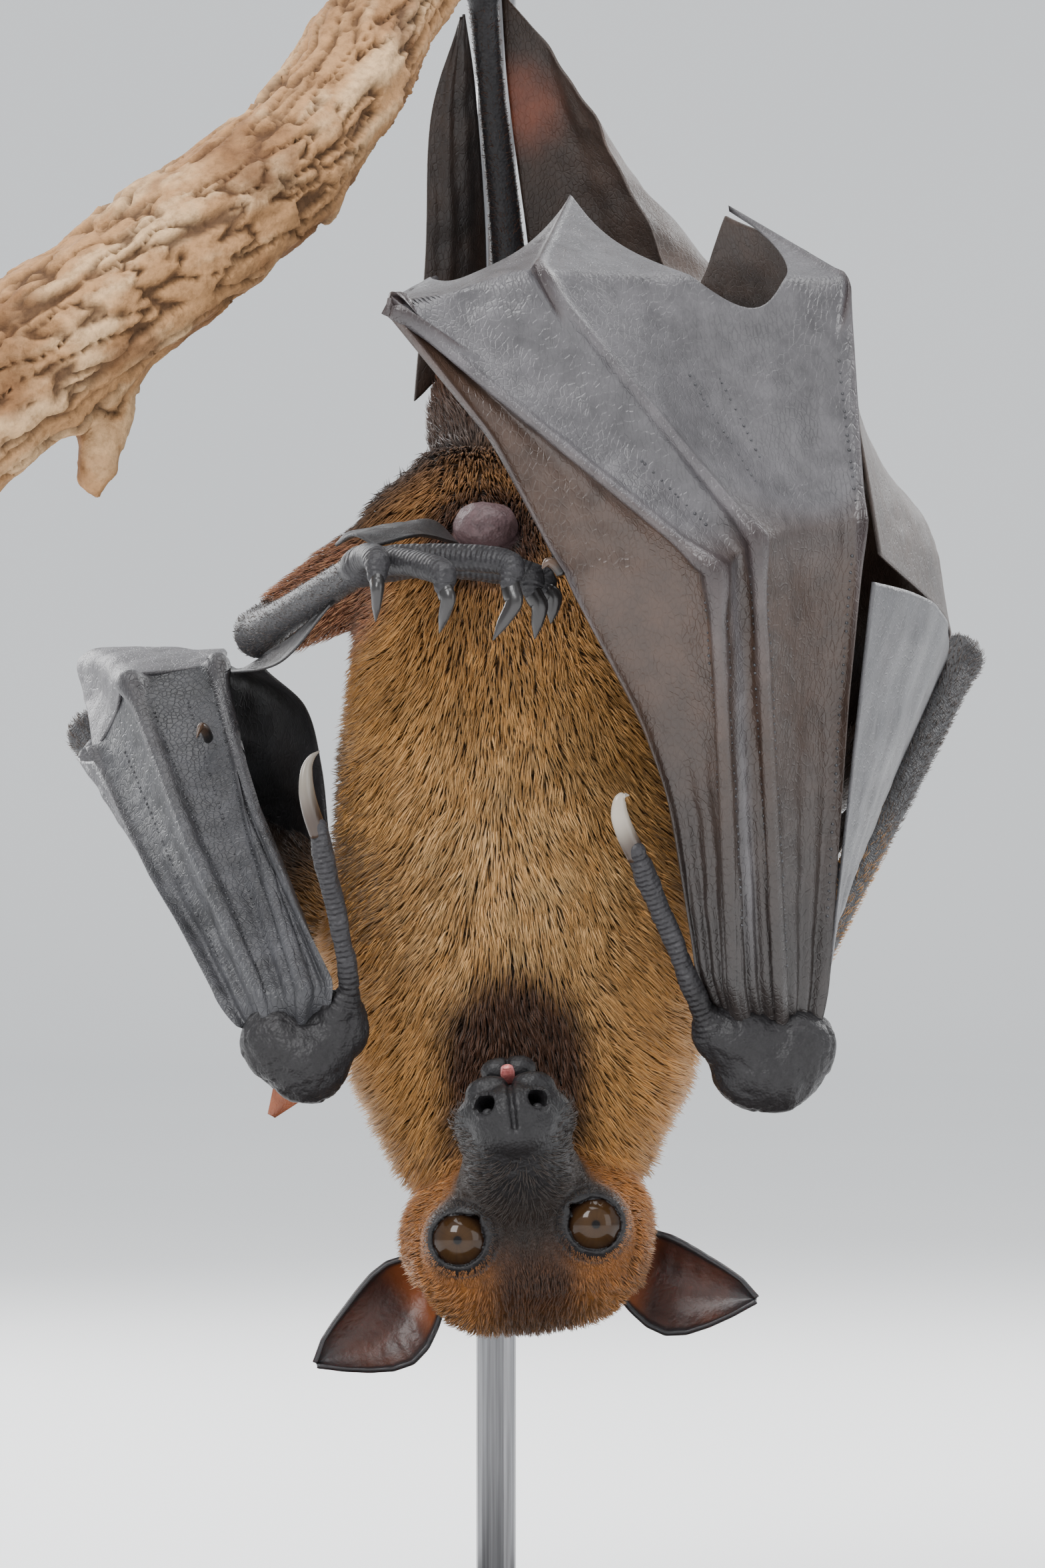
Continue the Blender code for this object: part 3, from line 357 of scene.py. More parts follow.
def toe_paths(side):
    """Path and radii of each toe, from the heel."""
    heel = ANKLE[side]
    paths = []
    for k in range(5):
        if side == "right":
            along = -9.5 + 4.8 * k
            root = grip_point(along * 0.6, 28, 18.0)
            path = [heel + (root - heel) * 0.15, root] + [grip_point(along, a, 16.7) for a in (62, 92, 118, 138)]
            paths.append((smooth_path(path, 16), spread([3.0, 2.5, 1.9, 2.1, 1.8, 1.5], 16)))
        else:
            knuckle, bend, _ = FREE_TOES[k]
            base = heel + (knuckle - heel) * 0.45 + vec(0, 1, 2)
            path = [heel, base, knuckle + vec(0, 0.5, 1.0), knuckle + (bend - knuckle) * 0.45]
            paths.append((smooth_path(path, 12), spread([3.9, 2.9, 2.9, 2.0], 12)))
    return paths


def foot(side):
    paths = toe_paths(side)
    heel = ANKLE[side]

    def field(p):
        total = np.linalg.norm(p - heel, axis=1) - 4.2
        for path, radii in paths:
            total = blend(total, limb(p, path, radii), 0.9)
        return total
    every = np.concatenate([path for path, _ in paths] + [heel[None]])
    return field, every.min(0) - 5, every.max(0) + 5


def hand(side):
    """The bulb of the wrist and the thumb."""
    blobs = WRIST_BLOBS[side]
    path = smooth_path(THUMB[side], 14)
    radii = spread([3.7, 2.5, 2.15, 2.05, 2.5, 2.0], 14)

    def field(p):
        total = ellipsoid(p, blobs[0][0], blobs[0][1] - 0.3)
        for centre, size in blobs[1:]:
            total = blend(total, ellipsoid(p, centre, size - 0.3), 2.5)
        return blend(total, limb(p, path, radii), 3.0)
    every = np.concatenate([path] + [np.array([c - r, c + r]) for c, r in blobs])
    return field, every.min(0) - 3, every.max(0) + 3


def flesh_groups():
    """Name, distance field, bounds and the softness of the join, in the order they are joined."""
    box_low, box_high = vec(-45, -35, 98), vec(45, 48, 274)
    groups = [("trunk", (trunk_field, box_low, box_high), 0.0),
              ("head", (head_field, vec(-34, -78, 70), vec(36, 8, 146)), 6.0),
              ("thigh_right", thigh_right(), 6.0), ("thigh_left", thigh_left(), 6.0)]
    for side in SIDES:
        groups.append(("upper_arm_" + side, upper_arm(side), 6.0))
        groups.append(("forearm_" + side, forearm(side), 2.5))
        groups.append(("hand_" + side, hand(side), 3.0))
    groups += [("shin_right", shin_right(), 3.0), ("shin_left", shin_left(), 3.0),
               ("foot_right", foot("right"), 1.2), ("foot_left", foot("left"), 1.2),
               ("nub", (nub_field, vec(-17, -12, 244), vec(1, 8, 258)), 1.6)]
    return groups


GROUPS = flesh_groups()
FAR = 25.0


def group_fields(p):
    """Distance to each group of flesh, FAR where it is too far to matter."""
    fields = {}
    for name, (field, low, high), _ in GROUPS:
        near = np.all((p > low - 10) & (p < high + 10), axis=1)
        out = np.full(len(p), FAR)
        if near.any():
            out[near] = field(p[near])
        fields[name] = out
    return fields


def flesh_field(p):
    fields = group_fields(p)
    total = fields["trunk"]
    for name, _, softness in GROUPS[1:]:
        total = blend(total, fields[name], softness)
    return total


# ---------------------------------------------------------------- markings shared by skin and coat
GOLD = vec(0.400, 0.190, 0.048)
BUFF = vec(0.680, 0.440, 0.200)
RUFOUS = vec(0.330, 0.125, 0.028)
UMBER = vec(0.058, 0.022, 0.009)
SEAL = vec(0.030, 0.019, 0.014)
BLACK_SKIN = vec(0.012, 0.011, 0.012)
GREY_SKIN = vec(0.020, 0.019, 0.021)
MANTLE = vec(0.420, 0.220, 0.070)
ROSE_FUR = vec(0.30, 0.13, 0.07)


def mixed(a, b, share):
    return a + (b - a) * share[:, None]


def markings(p):
    """Colour of the coat's tips at each point of the body."""
    q = head_local(p)
    n = len(p)
    x, y, z = p.T
    shade = layered_noise(p, 9.0, 3) * 0.5
    fine = noise(p, 2.2, 9)
    body = np.tile(GOLD, (n, 1))
    chest = bell(np.hypot(x + 3, (z - 178) * 0.8), 26) * (y < 0)
    body = mixed(body, BUFF, 0.85 * chest * (0.6 + 0.6 * fine).clip(0, 1))
    body = mixed(body, UMBER * 2.2, smoothstep(z, 205, 262) * 0.62)
    back = smoothstep(y, 6, 24)
    body = mixed(body, SEAL * 1.6, back * smoothstep(z, 150, 186))
    body = mixed(body, MANTLE, back * smoothstep(-z, -172, -150))
    arch = np.hypot((x + 1.5) / 17.0, (z - 136) / 26.0)
    body = mixed(body, UMBER, smoothstep(-arch, -1.12, -0.62) * smoothstep(-y, -2, 6))
    ring = np.linalg.norm(p - vec(-8, -2, 251), axis=1)
    body = mixed(body, UMBER, smoothstep(-ring, -17, -9))
    rose = np.linalg.norm((p - vec(-40, 14, 236)) / vec(16, 16, 12), axis=1)
    body = mixed(body, ROSE_FUR, smoothstep(-rose, -1.4, -0.8))
    shins = np.minimum(*(limb(p, [KNEE[k], ANKLE[k]], [5.5, 4.5]) for k in SIDES))
    body = mixed(body, SEAL * 1.2, smoothstep(-shins, -3.0, -0.8))
    legs = smoothstep(z, 262, 285)
    body = mixed(body, UMBER * 1.5, legs * 0.8)
    face = np.tile(RUFOUS, (n, 1))
    across = np.abs(q[:, 0] + 1.2 * noise(p, 6, 21))
    stripe = smoothstep(-across, -14.5, -5.0) * smoothstep(q[:, 2], -16, -6)
    crown = smoothstep(-q[:, 1], 4, 20)
    face = mixed(face, GOLD * 0.9, crown * 0.55)
    face = mixed(face, UMBER, stripe * (0.95 - 0.35 * crown))
    dark = smoothstep(q[:, 1] + 0.25 * np.maximum(0, 13 - across), 1.5, 9.5)
    face = mixed(face, SEAL, dark)
    nape = smoothstep(head_field(p) - trunk_field(p), -4.0, 5.0)
    colour = mixed(face, body, nape)
    colour = colour * (1.0 + 0.28 * shade + 0.10 * fine)[:, None]
    return np.clip(colour, 0.002, 1.0)


# ---------------------------------------------------------------- meshes and materials
def new_piece(name, verts, face_sets, material, tint=None, extra=None):
    """A smooth mesh object from points in millimetres and arrays of faces."""
    mesh = bpy.data.meshes.new(name)
    verts = np.asarray(verts, float).reshape(-1, 3)
    mesh.vertices.add(len(verts))
    mesh.vertices.foreach_set("co", (verts * MM).astype(np.float32).ravel())
    corners = np.concatenate([np.asarray(f).ravel() for f in face_sets]).astype(np.int32)
    sizes = np.concatenate([np.full(len(f), f.shape[1]) for f in face_sets])
    starts = (np.cumsum(sizes) - sizes).astype(np.int32)
    mesh.loops.add(len(corners))
    mesh.loops.foreach_set("vertex_index", corners)
    mesh.polygons.add(len(sizes))
    mesh.polygons.foreach_set("loop_start", starts)
    mesh.update(calc_edges=True)
    mesh.polygons.foreach_set("use_smooth", np.ones(len(sizes), bool))
    if tint is not None:
        paint(mesh, tint)
    for key, values in (extra or {}).items():
        mesh.attributes.new(key, "FLOAT", "POINT").data.foreach_set("value", np.asarray(values, np.float32))
    mesh.materials.append(material)
    obj = bpy.data.objects.new(name, mesh)
    bpy.context.scene.collection.objects.link(obj)
    return obj


def paint(mesh, tint):
    rgba = np.ones((len(mesh.vertices), 4), np.float32)
    rgba[:, :3] = tint
    mesh.attributes.new("tint", "FLOAT_COLOR", "POINT").data.foreach_set("color", rgba.ravel())


def settle(obj, slot, *nodes):
    """Every piece rides on the one body and hides the solids it stands for."""
    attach(obj, "root")
    if nodes:
        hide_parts(*nodes)
    return obj


def shader(name, rough, specular=0.5, sheen=0.0, coat=0.0, colour=None):
    """A node material, its Principled shader and helpers to add to it."""
    mat = bpy.data.materials.new(name)
    mat.use_nodes = True
    tree = mat.node_tree
    bsdf = tree.nodes["Principled BSDF"]
    bsdf.inputs["Roughness"].default_value = rough
    bsdf.inputs["Specular IOR Level"].default_value = specular
    bsdf.inputs["Sheen Weight"].default_value = sheen
    bsdf.inputs["Coat Weight"].default_value = coat
    bsdf.inputs["Coat Roughness"].default_value = 0.05
    if colour is not None:
        bsdf.inputs["Base Color"].default_value = (*colour, 1.0)
    return mat, tree, bsdf


def texture(tree, kind, scale, stretch=(1, 1, 1), **values):
    """A texture in the object's own metres, stretched along its axes."""
    coords = tree.nodes.new("ShaderNodeTexCoord")
    mapping = tree.nodes.new("ShaderNodeMapping")
    mapping.inputs["Scale"].default_value = stretch
    tree.links.new(coords.outputs["Object"], mapping.inputs["Vector"])
    node = tree.nodes.new(kind)
    tree.links.new(mapping.outputs["Vector"], node.inputs["Vector"])
    node.inputs["Scale"].default_value = scale
    for key, value in values.items():
        if key in node.inputs:
            node.inputs[key].default_value = value
        else:
            setattr(node, key, value)
    return node


def attribute(tree, name, output="Color"):
    node = tree.nodes.new("ShaderNodeAttribute")
    node.attribute_name = name
    return node.outputs[output]


def math_node(tree, operation, a, b=None):
    node = tree.nodes.new("ShaderNodeMath")
    node.operation = operation
    for socket, value in zip(node.inputs, (a, b)):
        if value is None:
            continue
        if isinstance(value, (int, float)):
            socket.default_value = value
        else:
            tree.links.new(value, socket)
    return node.outputs[0]


def ramp(tree, factor, stops):
    node = tree.nodes.new("ShaderNodeValToRGB")
    bar = node.color_ramp
    while len(bar.elements) < len(stops):
        bar.elements.new(0.5)
    for element, (place, colour) in zip(bar.elements, stops):
        element.position = place
        element.color = (*colour, 1.0)
    tree.links.new(factor, node.inputs[0])
    return node.outputs[0]


def mix_colour(tree, factor, a, b, mode="MIX"):
    node = tree.nodes.new("ShaderNodeMix")
    node.data_type = "RGBA"
    node.blend_type = mode
    for socket, value in ((node.inputs[0], factor), (node.inputs[6], a), (node.inputs[7], b)):
        if isinstance(value, (int, float)):
            socket.default_value = value
        elif isinstance(value, (tuple, list, np.ndarray)):
            socket.default_value = (*value, 1.0)
        else:
            tree.links.new(value, socket)
    return node.outputs[2]


def bump(tree, bsdf, height, strength, distance):
    """Adds a relief to the shader, on top of any that is there."""
    node = tree.nodes.new("ShaderNodeBump")
    node.inputs["Strength"].default_value = strength
    node.inputs["Distance"].default_value = distance
    tree.links.new(height, node.inputs["Height"])
    before = bsdf.inputs["Normal"].links
    if before:
        tree.links.new(before[0].from_socket, node.inputs["Normal"])
    tree.links.new(node.outputs["Normal"], bsdf.inputs["Normal"])


def coat_material():
    mat, tree, bsdf = shader("coat_hair", 0.50, specular=0.30, sheen=0.08)
    bsdf.inputs["Sheen Roughness"].default_value = 0.4
    tree.links.new(attribute(tree, "tint"), bsdf.inputs["Base Color"])
    return mat


def skin_material():
    """Skin under the coat and the bare skin of face, hands and feet."""
    mat, tree, bsdf = shader("bat_skin", 0.50, specular=0.32)
    spots = texture(tree, "ShaderNodeTexNoise", 900, Detail=3.0)
    tone = ramp(tree, spots.outputs[0], ((0.3, (0.72, 0.72, 0.72)), (0.75, (1.3, 1.3, 1.3))))
    tree.links.new(mix_colour(tree, 1.0, attribute(tree, "tint"), tone, "MULTIPLY"), bsdf.inputs["Base Color"])
    pebbles = texture(tree, "ShaderNodeTexVoronoi", 1500)
    bump(tree, bsdf, pebbles.outputs["Distance"], 0.35, 0.00035)
    creases = texture(tree, "ShaderNodeTexNoise", 420, Detail=4.0, Distortion=0.6)
    bump(tree, bsdf, creases.outputs[0], 0.35, 0.0006)
    rings = math_node(tree, "SINE", math_node(tree, "MULTIPLY", attribute(tree, "along", "Fac"), 5.2))
    ringed = math_node(tree, "MULTIPLY", rings, attribute(tree, "ringed", "Fac"))
    bump(tree, bsdf, ringed, 0.5, 0.00022)
    return mat


# ---------------------------------------------------------------- one skin
SKIN_STEP = 1.2
COARSE = 4


def skin_grid():
    """Distances on a grid of SKIN_STEP, worked out only near the surface."""
    low = np.min([g[1][1] for g in GROUPS], axis=0) - 6
    high = np.max([g[1][2] for g in GROUPS], axis=0) + 6
    counts = np.ceil((high - low) / (COARSE * SKIN_STEP)).astype(int) + 1
    axes = [low[k] + np.arange(counts[k]) * COARSE * SKIN_STEP + (COARSE - 1) * SKIN_STEP / 2 for k in range(3)]
    centres = np.stack(np.meshgrid(*axes, indexing="ij"), -1).reshape(-1, 3)
    rough = flesh_field(centres)
    shape = tuple(counts * COARSE)
    blocks = np.repeat(np.repeat(np.repeat(rough.reshape(counts), COARSE, 0), COARSE, 1), COARSE, 2)
    values = np.clip(blocks, -6, 6).astype(np.float32)
    close = np.abs(blocks) < COARSE * SKIN_STEP * 1.5
    where = np.argwhere(close)
    values[close] = np.clip(flesh_field(low + where * SKIN_STEP), -6, 6)
    return low, values, shape


def skin_surface():
    low, values, _ = skin_grid()
    grid = openvdb.FloatGrid(6.0)
    grid.copyFromArray(values)
    points, quads = grid.convertToQuads(0.0)
    return low + np.asarray(points, float) * SKIN_STEP, np.asarray(quads, np.int64)


def pulled_in(p, rounds=2):
    """Points moved onto the surface of the flesh."""
    step = 0.08
    for _ in range(rounds):
        here = flesh_field(p)
        slope = np.stack([(flesh_field(p + np.eye(3)[k] * step) - here) / step for k in range(3)], 1)
        size = np.maximum(np.einsum("ij,ij->i", slope, slope), 0.25)
        p = p - slope * np.clip(here / size, -0.8, 0.8)[:, None]
    return p


def bare_reach(p):
    """How much detail a point of the skin needs: 2 on the face, 1 on other bare skin, 0 under the coat."""
    fields = group_fields(p)
    q = head_local(p)
    a = np.abs(q[:, 0])
    level = np.zeros(len(p))
    on_head = fields["head"] < 2.0
    level[on_head & (q[:, 1] > -3)] = 1
    eye = np.hypot(a - EYE_AT[0], q[:, 2] - EYE_AT[2])
    level[on_head & (((q[:, 1] > 17) & (a < 14)) | ((eye < 10) & (q[:, 1] > -1)))] = 2
    for name in ("hand_right", "hand_left", "foot_right", "foot_left", "nub"):
        level[fields[name] < 1.5] = 1
    return level


def refined_skin():
    points, quads = skin_surface()
    mesh = bpy.data.meshes.new("rough_skin")
    mesh.from_pydata((points).tolist(), [], quads.tolist())
    bm = bmesh.new()
    bm.from_mesh(mesh)
    bpy.data.meshes.remove(mesh)
    for wanted in (1, 2):
        bm.verts.ensure_lookup_table()
        co = np.array([v.co for v in bm.verts])
        level = bare_reach(co)
        chosen = [e for e in bm.edges if level[e.verts[0].index] >= wanted and level[e.verts[1].index] >= wanted]
        bmesh.ops.subdivide_edges(bm, edges=chosen, cuts=1, use_grid_fill=True)
        bm.verts.index_update()
        bm.verts.ensure_lookup_table()
    bmesh.ops.triangulate(bm, faces=[f for f in bm.faces if len(f.verts) > 4])
    co = pulled_in(np.array([v.co for v in bm.verts]))
    for v, place in zip(bm.verts, co):
        v.co = place
    bmesh.ops.recalc_face_normals(bm, faces=bm.faces)
    bm.normal_update()
    return bm


def skin_details(p, normals):
    """Fine relief of the bare skin, along the surface's own direction."""
    fields = group_fields(p)
    q = head_local(p)
    push = np.zeros(len(p))
    for side in SIDES:
        bulb = smoothstep(-fields["hand_" + side], -1.5, 0.5)
        folds = layered_noise(p * vec(1.0, 1.0, 0.45), 2.6, 31)
        push += bulb * (0.40 * folds - 0.35 * bell(layered_noise(p, 3.4, 33, 2), 0.13))
        toes = smoothstep(-fields["foot_" + side], -1.5, 0.5)
        push += toes * 0.16 * layered_noise(p, 1.6, 35)
    nose = smoothstep(q[:, 1], 22, 28) * (fields["head"] < 3)
    push += nose * 0.07 * noise(p, 0.8, 41)
    push += (fields["nub"] < 2) * 0.35 * layered_noise(p, 3.0, 45)
    return p + normals * push[:, None]


def skin_tints(p):
    """Colour of the skin: the coat's own markings, darkened, and the bare parts."""
    fields = group_fields(p)
    q = head_local(p)
    tint = markings(p) * 0.55
    a = np.abs(q[:, 0])
    reach, along, flat = eye_distances(np.column_stack([a, q[:, 1], q[:, 2]]))
    bare = smoothstep(q[:, 1], 10, 18)
    lids = smoothstep(-np.linalg.norm(flat, axis=1), -10.0, -7.6) * (along > 0) * (reach < 12)
    on_head = smoothstep(-fields["head"], -4, -1)
    tint = mixed(tint, BLACK_SKIN * 0.8, np.maximum(bare, lids) * on_head)
    for name, colour in (("hand_right", BLACK_SKIN), ("hand_left", BLACK_SKIN), ("foot_right", GREY_SKIN * 0.7),
                         ("foot_left", GREY_SKIN), ("shin_right", GREY_SKIN), ("shin_left", GREY_SKIN),
                         ("forearm_right", GREY_SKIN), ("forearm_left", GREY_SKIN)):
        tint = mixed(tint, colour, smoothstep(-fields[name], -2.0, -0.5))
    tint = mixed(tint, vec(0.085, 0.052, 0.055), smoothstep(-fields["nub"], -1.5, -0.2))
    for side in SIDES:
        tip = smoothstep(p[:, 2], THUMB[side][1][2] - 4, THUMB[side][1][2] + 4) * (fields["hand_" + side] < 1.5)
        tint = mixed(tint, GREY_SKIN * 1.3, tip)
    return tint


def digit_phase(p):
    """Length along the nearest thumb or toe, and how strongly its skin is ringed."""
    along, ringed = np.zeros(len(p)), np.zeros(len(p))
    paths = [(smooth_path(THUMB[side], 14), 1.0) for side in SIDES]
    paths += [(path, 0.8) for side in SIDES for path, _ in toe_paths(side)]
    best = np.full(len(p), 4.2)
    for path, strength in paths:
        length = 0.0
        for a, b in zip(path[:-1], path[1:]):
            ab = b - a
            t = np.clip((p - a) @ ab / (ab @ ab), 0.0, 1.0)
            gap = np.linalg.norm(p - a - t[:, None] * ab, axis=1)
            closer = gap < best
            along[closer] = length + t[closer] * np.linalg.norm(ab)
            ringed[closer] = strength
            best = np.minimum(best, gap)
            length += np.linalg.norm(ab)
    return along, ringed


SKIN_NODES = ["head", "lower_jaw", "neck", "chest", "belly", "rump", "groin_nub"]
SKIN_NODES += [part + "_" + side for side in SIDES
               for part in ("thigh", "shin", "foot", "upper_arm", "forearm", "wrist", "thumb")]
BUILT = {}


class BAT_OT_skin(Operator):
    """One skin over head, body, legs, arms and hands, inside the solids by the coat's depth"""
    bl_idname = "bat.skin"
    bl_label = "Skin"

    def execute(self, context):
        bm = refined_skin()
        co = np.array([v.co for v in bm.verts])
        normals = np.array([v.normal for v in bm.verts])
        co = skin_details(co, normals)
        for v, place in zip(bm.verts, co):
            v.co = place * MM
        mesh = bpy.data.meshes.new("bat_skin")
        bm.to_mesh(mesh)
        bm.free()
        mesh.polygons.foreach_set("use_smooth", np.ones(len(mesh.polygons), bool))
        paint(mesh, skin_tints(co))
        along, ringed = digit_phase(co)
        mesh.attributes.new("along", "FLOAT", "POINT").data.foreach_set("value", along.astype(np.float32))
        mesh.attributes.new("ringed", "FLOAT", "POINT").data.foreach_set("value", ringed.astype(np.float32))
        mesh.materials.append(skin_material())
        obj = bpy.data.objects.new("bat_skin", mesh)
        context.scene.collection.objects.link(obj)
        settle(obj, "black_skin", *SKIN_NODES)
        BUILT["skin"] = obj
        return {"FINISHED"}


# ---------------------------------------------------------------- coat
HEAD_X = HEAD_AXES[0]
HEAD_F = HEAD_AXES[1]
TUFT_SHARE = 1.0
ROOT_SUNK = 0.35
PATCH = 0.003


def skin_samples(rng, density_at):
    """Roots spread over the skin by area and wanted density: places and directions."""
    mesh = BUILT["skin"].data
    co = np.zeros(len(mesh.vertices) * 3, np.float32)
    mesh.vertices.foreach_get("co", co)
    co = co.reshape(-1, 3).astype(float) / MM
    normals = np.zeros(len(mesh.vertices) * 3, np.float32)
    mesh.vertices.foreach_get("normal", normals)
    normals = normals.reshape(-1, 3).astype(float)
    mesh.calc_loop_triangles()
    tris = np.zeros(len(mesh.loop_triangles) * 3, np.int32)
    mesh.loop_triangles.foreach_get("vertices", tris)
    tris = tris.reshape(-1, 3)
    a, b, c = co[tris[:, 0]], co[tris[:, 1]], co[tris[:, 2]]
    area = 0.5 * np.linalg.norm(np.cross(b - a, c - a), axis=1)
    centre = (a + b + c) / 3
    expected = area * density_at(centre, normalised(normals[tris].sum(1)))
    counts = np.floor(expected + rng.random(len(expected))).astype(int)
    chosen = np.repeat(np.arange(len(tris)), counts)
    u, v = rng.random((2, len(chosen)))
    flip = u + v > 1
    u, v = np.where(flip, 1 - u, u), np.where(flip, 1 - v, v)
    w = np.stack([1 - u - v, u, v], 1)[:, :, None]
    corner = tris[chosen]
    return (co[corner] * w).sum(1), normalised((normals[corner] * w).sum(1))


def coat_plan(p, n):
    """Length, width, lift, density and lie of the coat at points of the skin."""
    fields = group_fields(p)
    q = head_local(p)
    a = np.column_stack([np.abs(q[:, 0]), q[:, 1], q[:, 2]])
    reach, along, flat = eye_distances(a)
    from_eye = np.linalg.norm(flat, axis=1)
    ahead = smoothstep(-q[:, 1], -17, 13)
    head = smoothstep(fields["trunk"] - fields["head"], -3.0, 3.0)
    z, y = p[:, 2], p[:, 1]
    front = smoothstep(-y, -22, 2)
    body_length = 6.2 + 2.0 * front * smoothstep(-z, -250, -180)
    head_length = 1.1 + 4.6 * ahead ** 1.5
    near_eye = smoothstep(-from_eye, -17, -8) * (along > -2) * (reach < 18)
    head_length = head_length * (1 - 0.62 * near_eye)
    head_length = np.maximum(head_length, 1.35 - 0.1 * near_eye)
    length = body_length * (1 - head) + head_length * head
    density = 2.5 * (1 - 0.42 * smoothstep(y, 8, 26)) * (1 - head) + (7.4 - 3.6 * ahead + 4.0 * near_eye) * head
    lie = np.cross(HEAD_X, n) + 0.8 * np.abs(n[:, :1]) * vec(0, 1, 0)
    lie = lie - HEAD_F * (0.7 * head)[:, None]
    away = normalised(flat) * np.column_stack([np.sign(q[:, 0]), np.ones(len(p)), np.ones(len(p))]) @ HEAD_AXES
    lie = lie + away * (1.6 * near_eye)[:, None]
    spreading = np.sign(p[:, 0]) * smoothstep(np.abs(p[:, 0]), 1, 26) * (n[:, 1] < 0.3)
    lie[:, 0] += 0.45 * spreading
    lift = 0.50 - 0.10 * smoothstep(y, 6, 24) - 0.16 * head * (1 - ahead) + 0.2 * near_eye * head
    for name, start, end, size, count in (
            ("thigh_right", HIP["right"], KNEE["right"], 4.6, 1.7),
            ("thigh_left", HIP["left"], KNEE["left"], 4.4, 1.7),
            ("upper_arm_right", SHOULDER["right"], ELBOW["right"], 4.6, 1.35),
            ("upper_arm_left", SHOULDER["left"], ELBOW["left"], 4.6, 1.35),
            ("forearm_right", WRIST["right"], ELBOW["right"], 2.4, 1.1),
            ("forearm_left", WRIST["left"], ELBOW["left"], 2.4, 1.1)):
        mine = smoothstep(fields["trunk"] - fields[name], -1.5, 2.5)
        outward = (end - start) / np.linalg.norm(end - start)
        lie = lie * (1 - mine)[:, None] + outward * mine[:, None]
        length = length * (1 - mine) + size * mine
        density = density * (1 - mine) + count * mine
    density = density * (1 - smoothstep(q[:, 1], 23.5, 29) * (fields["head"] < 3))
    density = np.where((from_eye < 6.5) & (along > 0) & (reach < 12), 0.0, density)
    for name in ("shin_right", "shin_left"):
        mine = smoothstep(fields["trunk"] - fields[name], 0.0, 2.0) * (fields[name] < 1.5)
        length = length * (1 - mine) + 1.7 * mine
        density = density * (1 - mine) + 1.3 * mine
    for name in ("hand_right", "hand_left", "foot_right", "foot_left", "nub"):
        density = np.where(fields[name] < 0.9, 0.0, density)
    width = np.clip(0.068 * length, 0.15, 0.42)
    lie = lie - n * np.einsum("ij,ij->i", lie, n)[:, None]
    return length, width, lift, density * TUFT_SHARE, normalised(lie), fields


def coat_piece_of(p, fields):
    """Number of the coat piece that each root belongs to."""
    q = head_local(p)
    names = np.full(len(p), 3)
    head = fields["head"] < fields["trunk"]
    names[:] = np.where(p[:, 1] < 8, np.where(p[:, 2] < 168, 3, np.where(p[:, 2] < 206, 4, 5)), 6)
    names[(p[:, 1] >= 8) & (p[:, 2] > 200)] = 7
    names[head] = np.where(q[head, 1] > -3, 0, np.where(q[head, 2] < -4, 1, 2))
    for name in ("thigh_right", "thigh_left"):
        names[(fields[name] < fields["trunk"]) & ~head] = 8
    for name in ("upper_arm_right", "upper_arm_left", "forearm_right", "forearm_left"):
        names[(fields[name] < fields["trunk"]) & ~head] = 9
    return names


COAT_PIECES = ("coat_face", "coat_cheeks", "coat_crown", "coat_throat", "coat_chest", "coat_belly",
               "coat_mantle", "coat_back", "coat_thighs", "coat_arms")
MOST_TUFTS = 16500


def unwrapped(piece, p):
    """Place of each root on the skin unrolled round the part that it grows on, filling the square."""
    if piece < 3:
        q = head_local(p) - vec(0, 0, -5)
        u = np.arctan2(q[:, 0], q[:, 2]) / (2 * math.pi) + 0.5
        v = q[:, 1]
    elif piece < 8:
        u = np.arctan2(p[:, 0], p[:, 1] - 14 if piece < 6 else 14 - p[:, 1]) / (2 * math.pi) + 0.5
        v = p[:, 2]
    else:
        side = p[:, 0] > (-14 if piece == 8 else 0)
        start, end = (HIP, KNEE) if piece == 8 else (SHOULDER, ELBOW)
        u, v = np.zeros(len(p)), np.zeros(len(p))
        for mask, name, base in ((side, "right", 0.0), (~side, "left", 0.5)):
            axis = normalised(end[name] - start[name])
            ref = normalised(np.cross(axis, vec(0.1, 0.9, 0.2)))
            r = p[mask] - start[name]
            angle = np.arctan2(r @ np.cross(axis, ref), r @ ref)
            u[mask] = base + (angle / (2 * math.pi) + 0.5) * 0.47
            v[mask] = r @ axis
    low, high = v.min(), v.max()
    u = (u - u.min()) / max(np.ptp(u), 1e-6)
    v = (v - low) / (high - low)
    return np.stack([0.01 + 0.97 * u, 0.01 + 0.97 * v], 1)


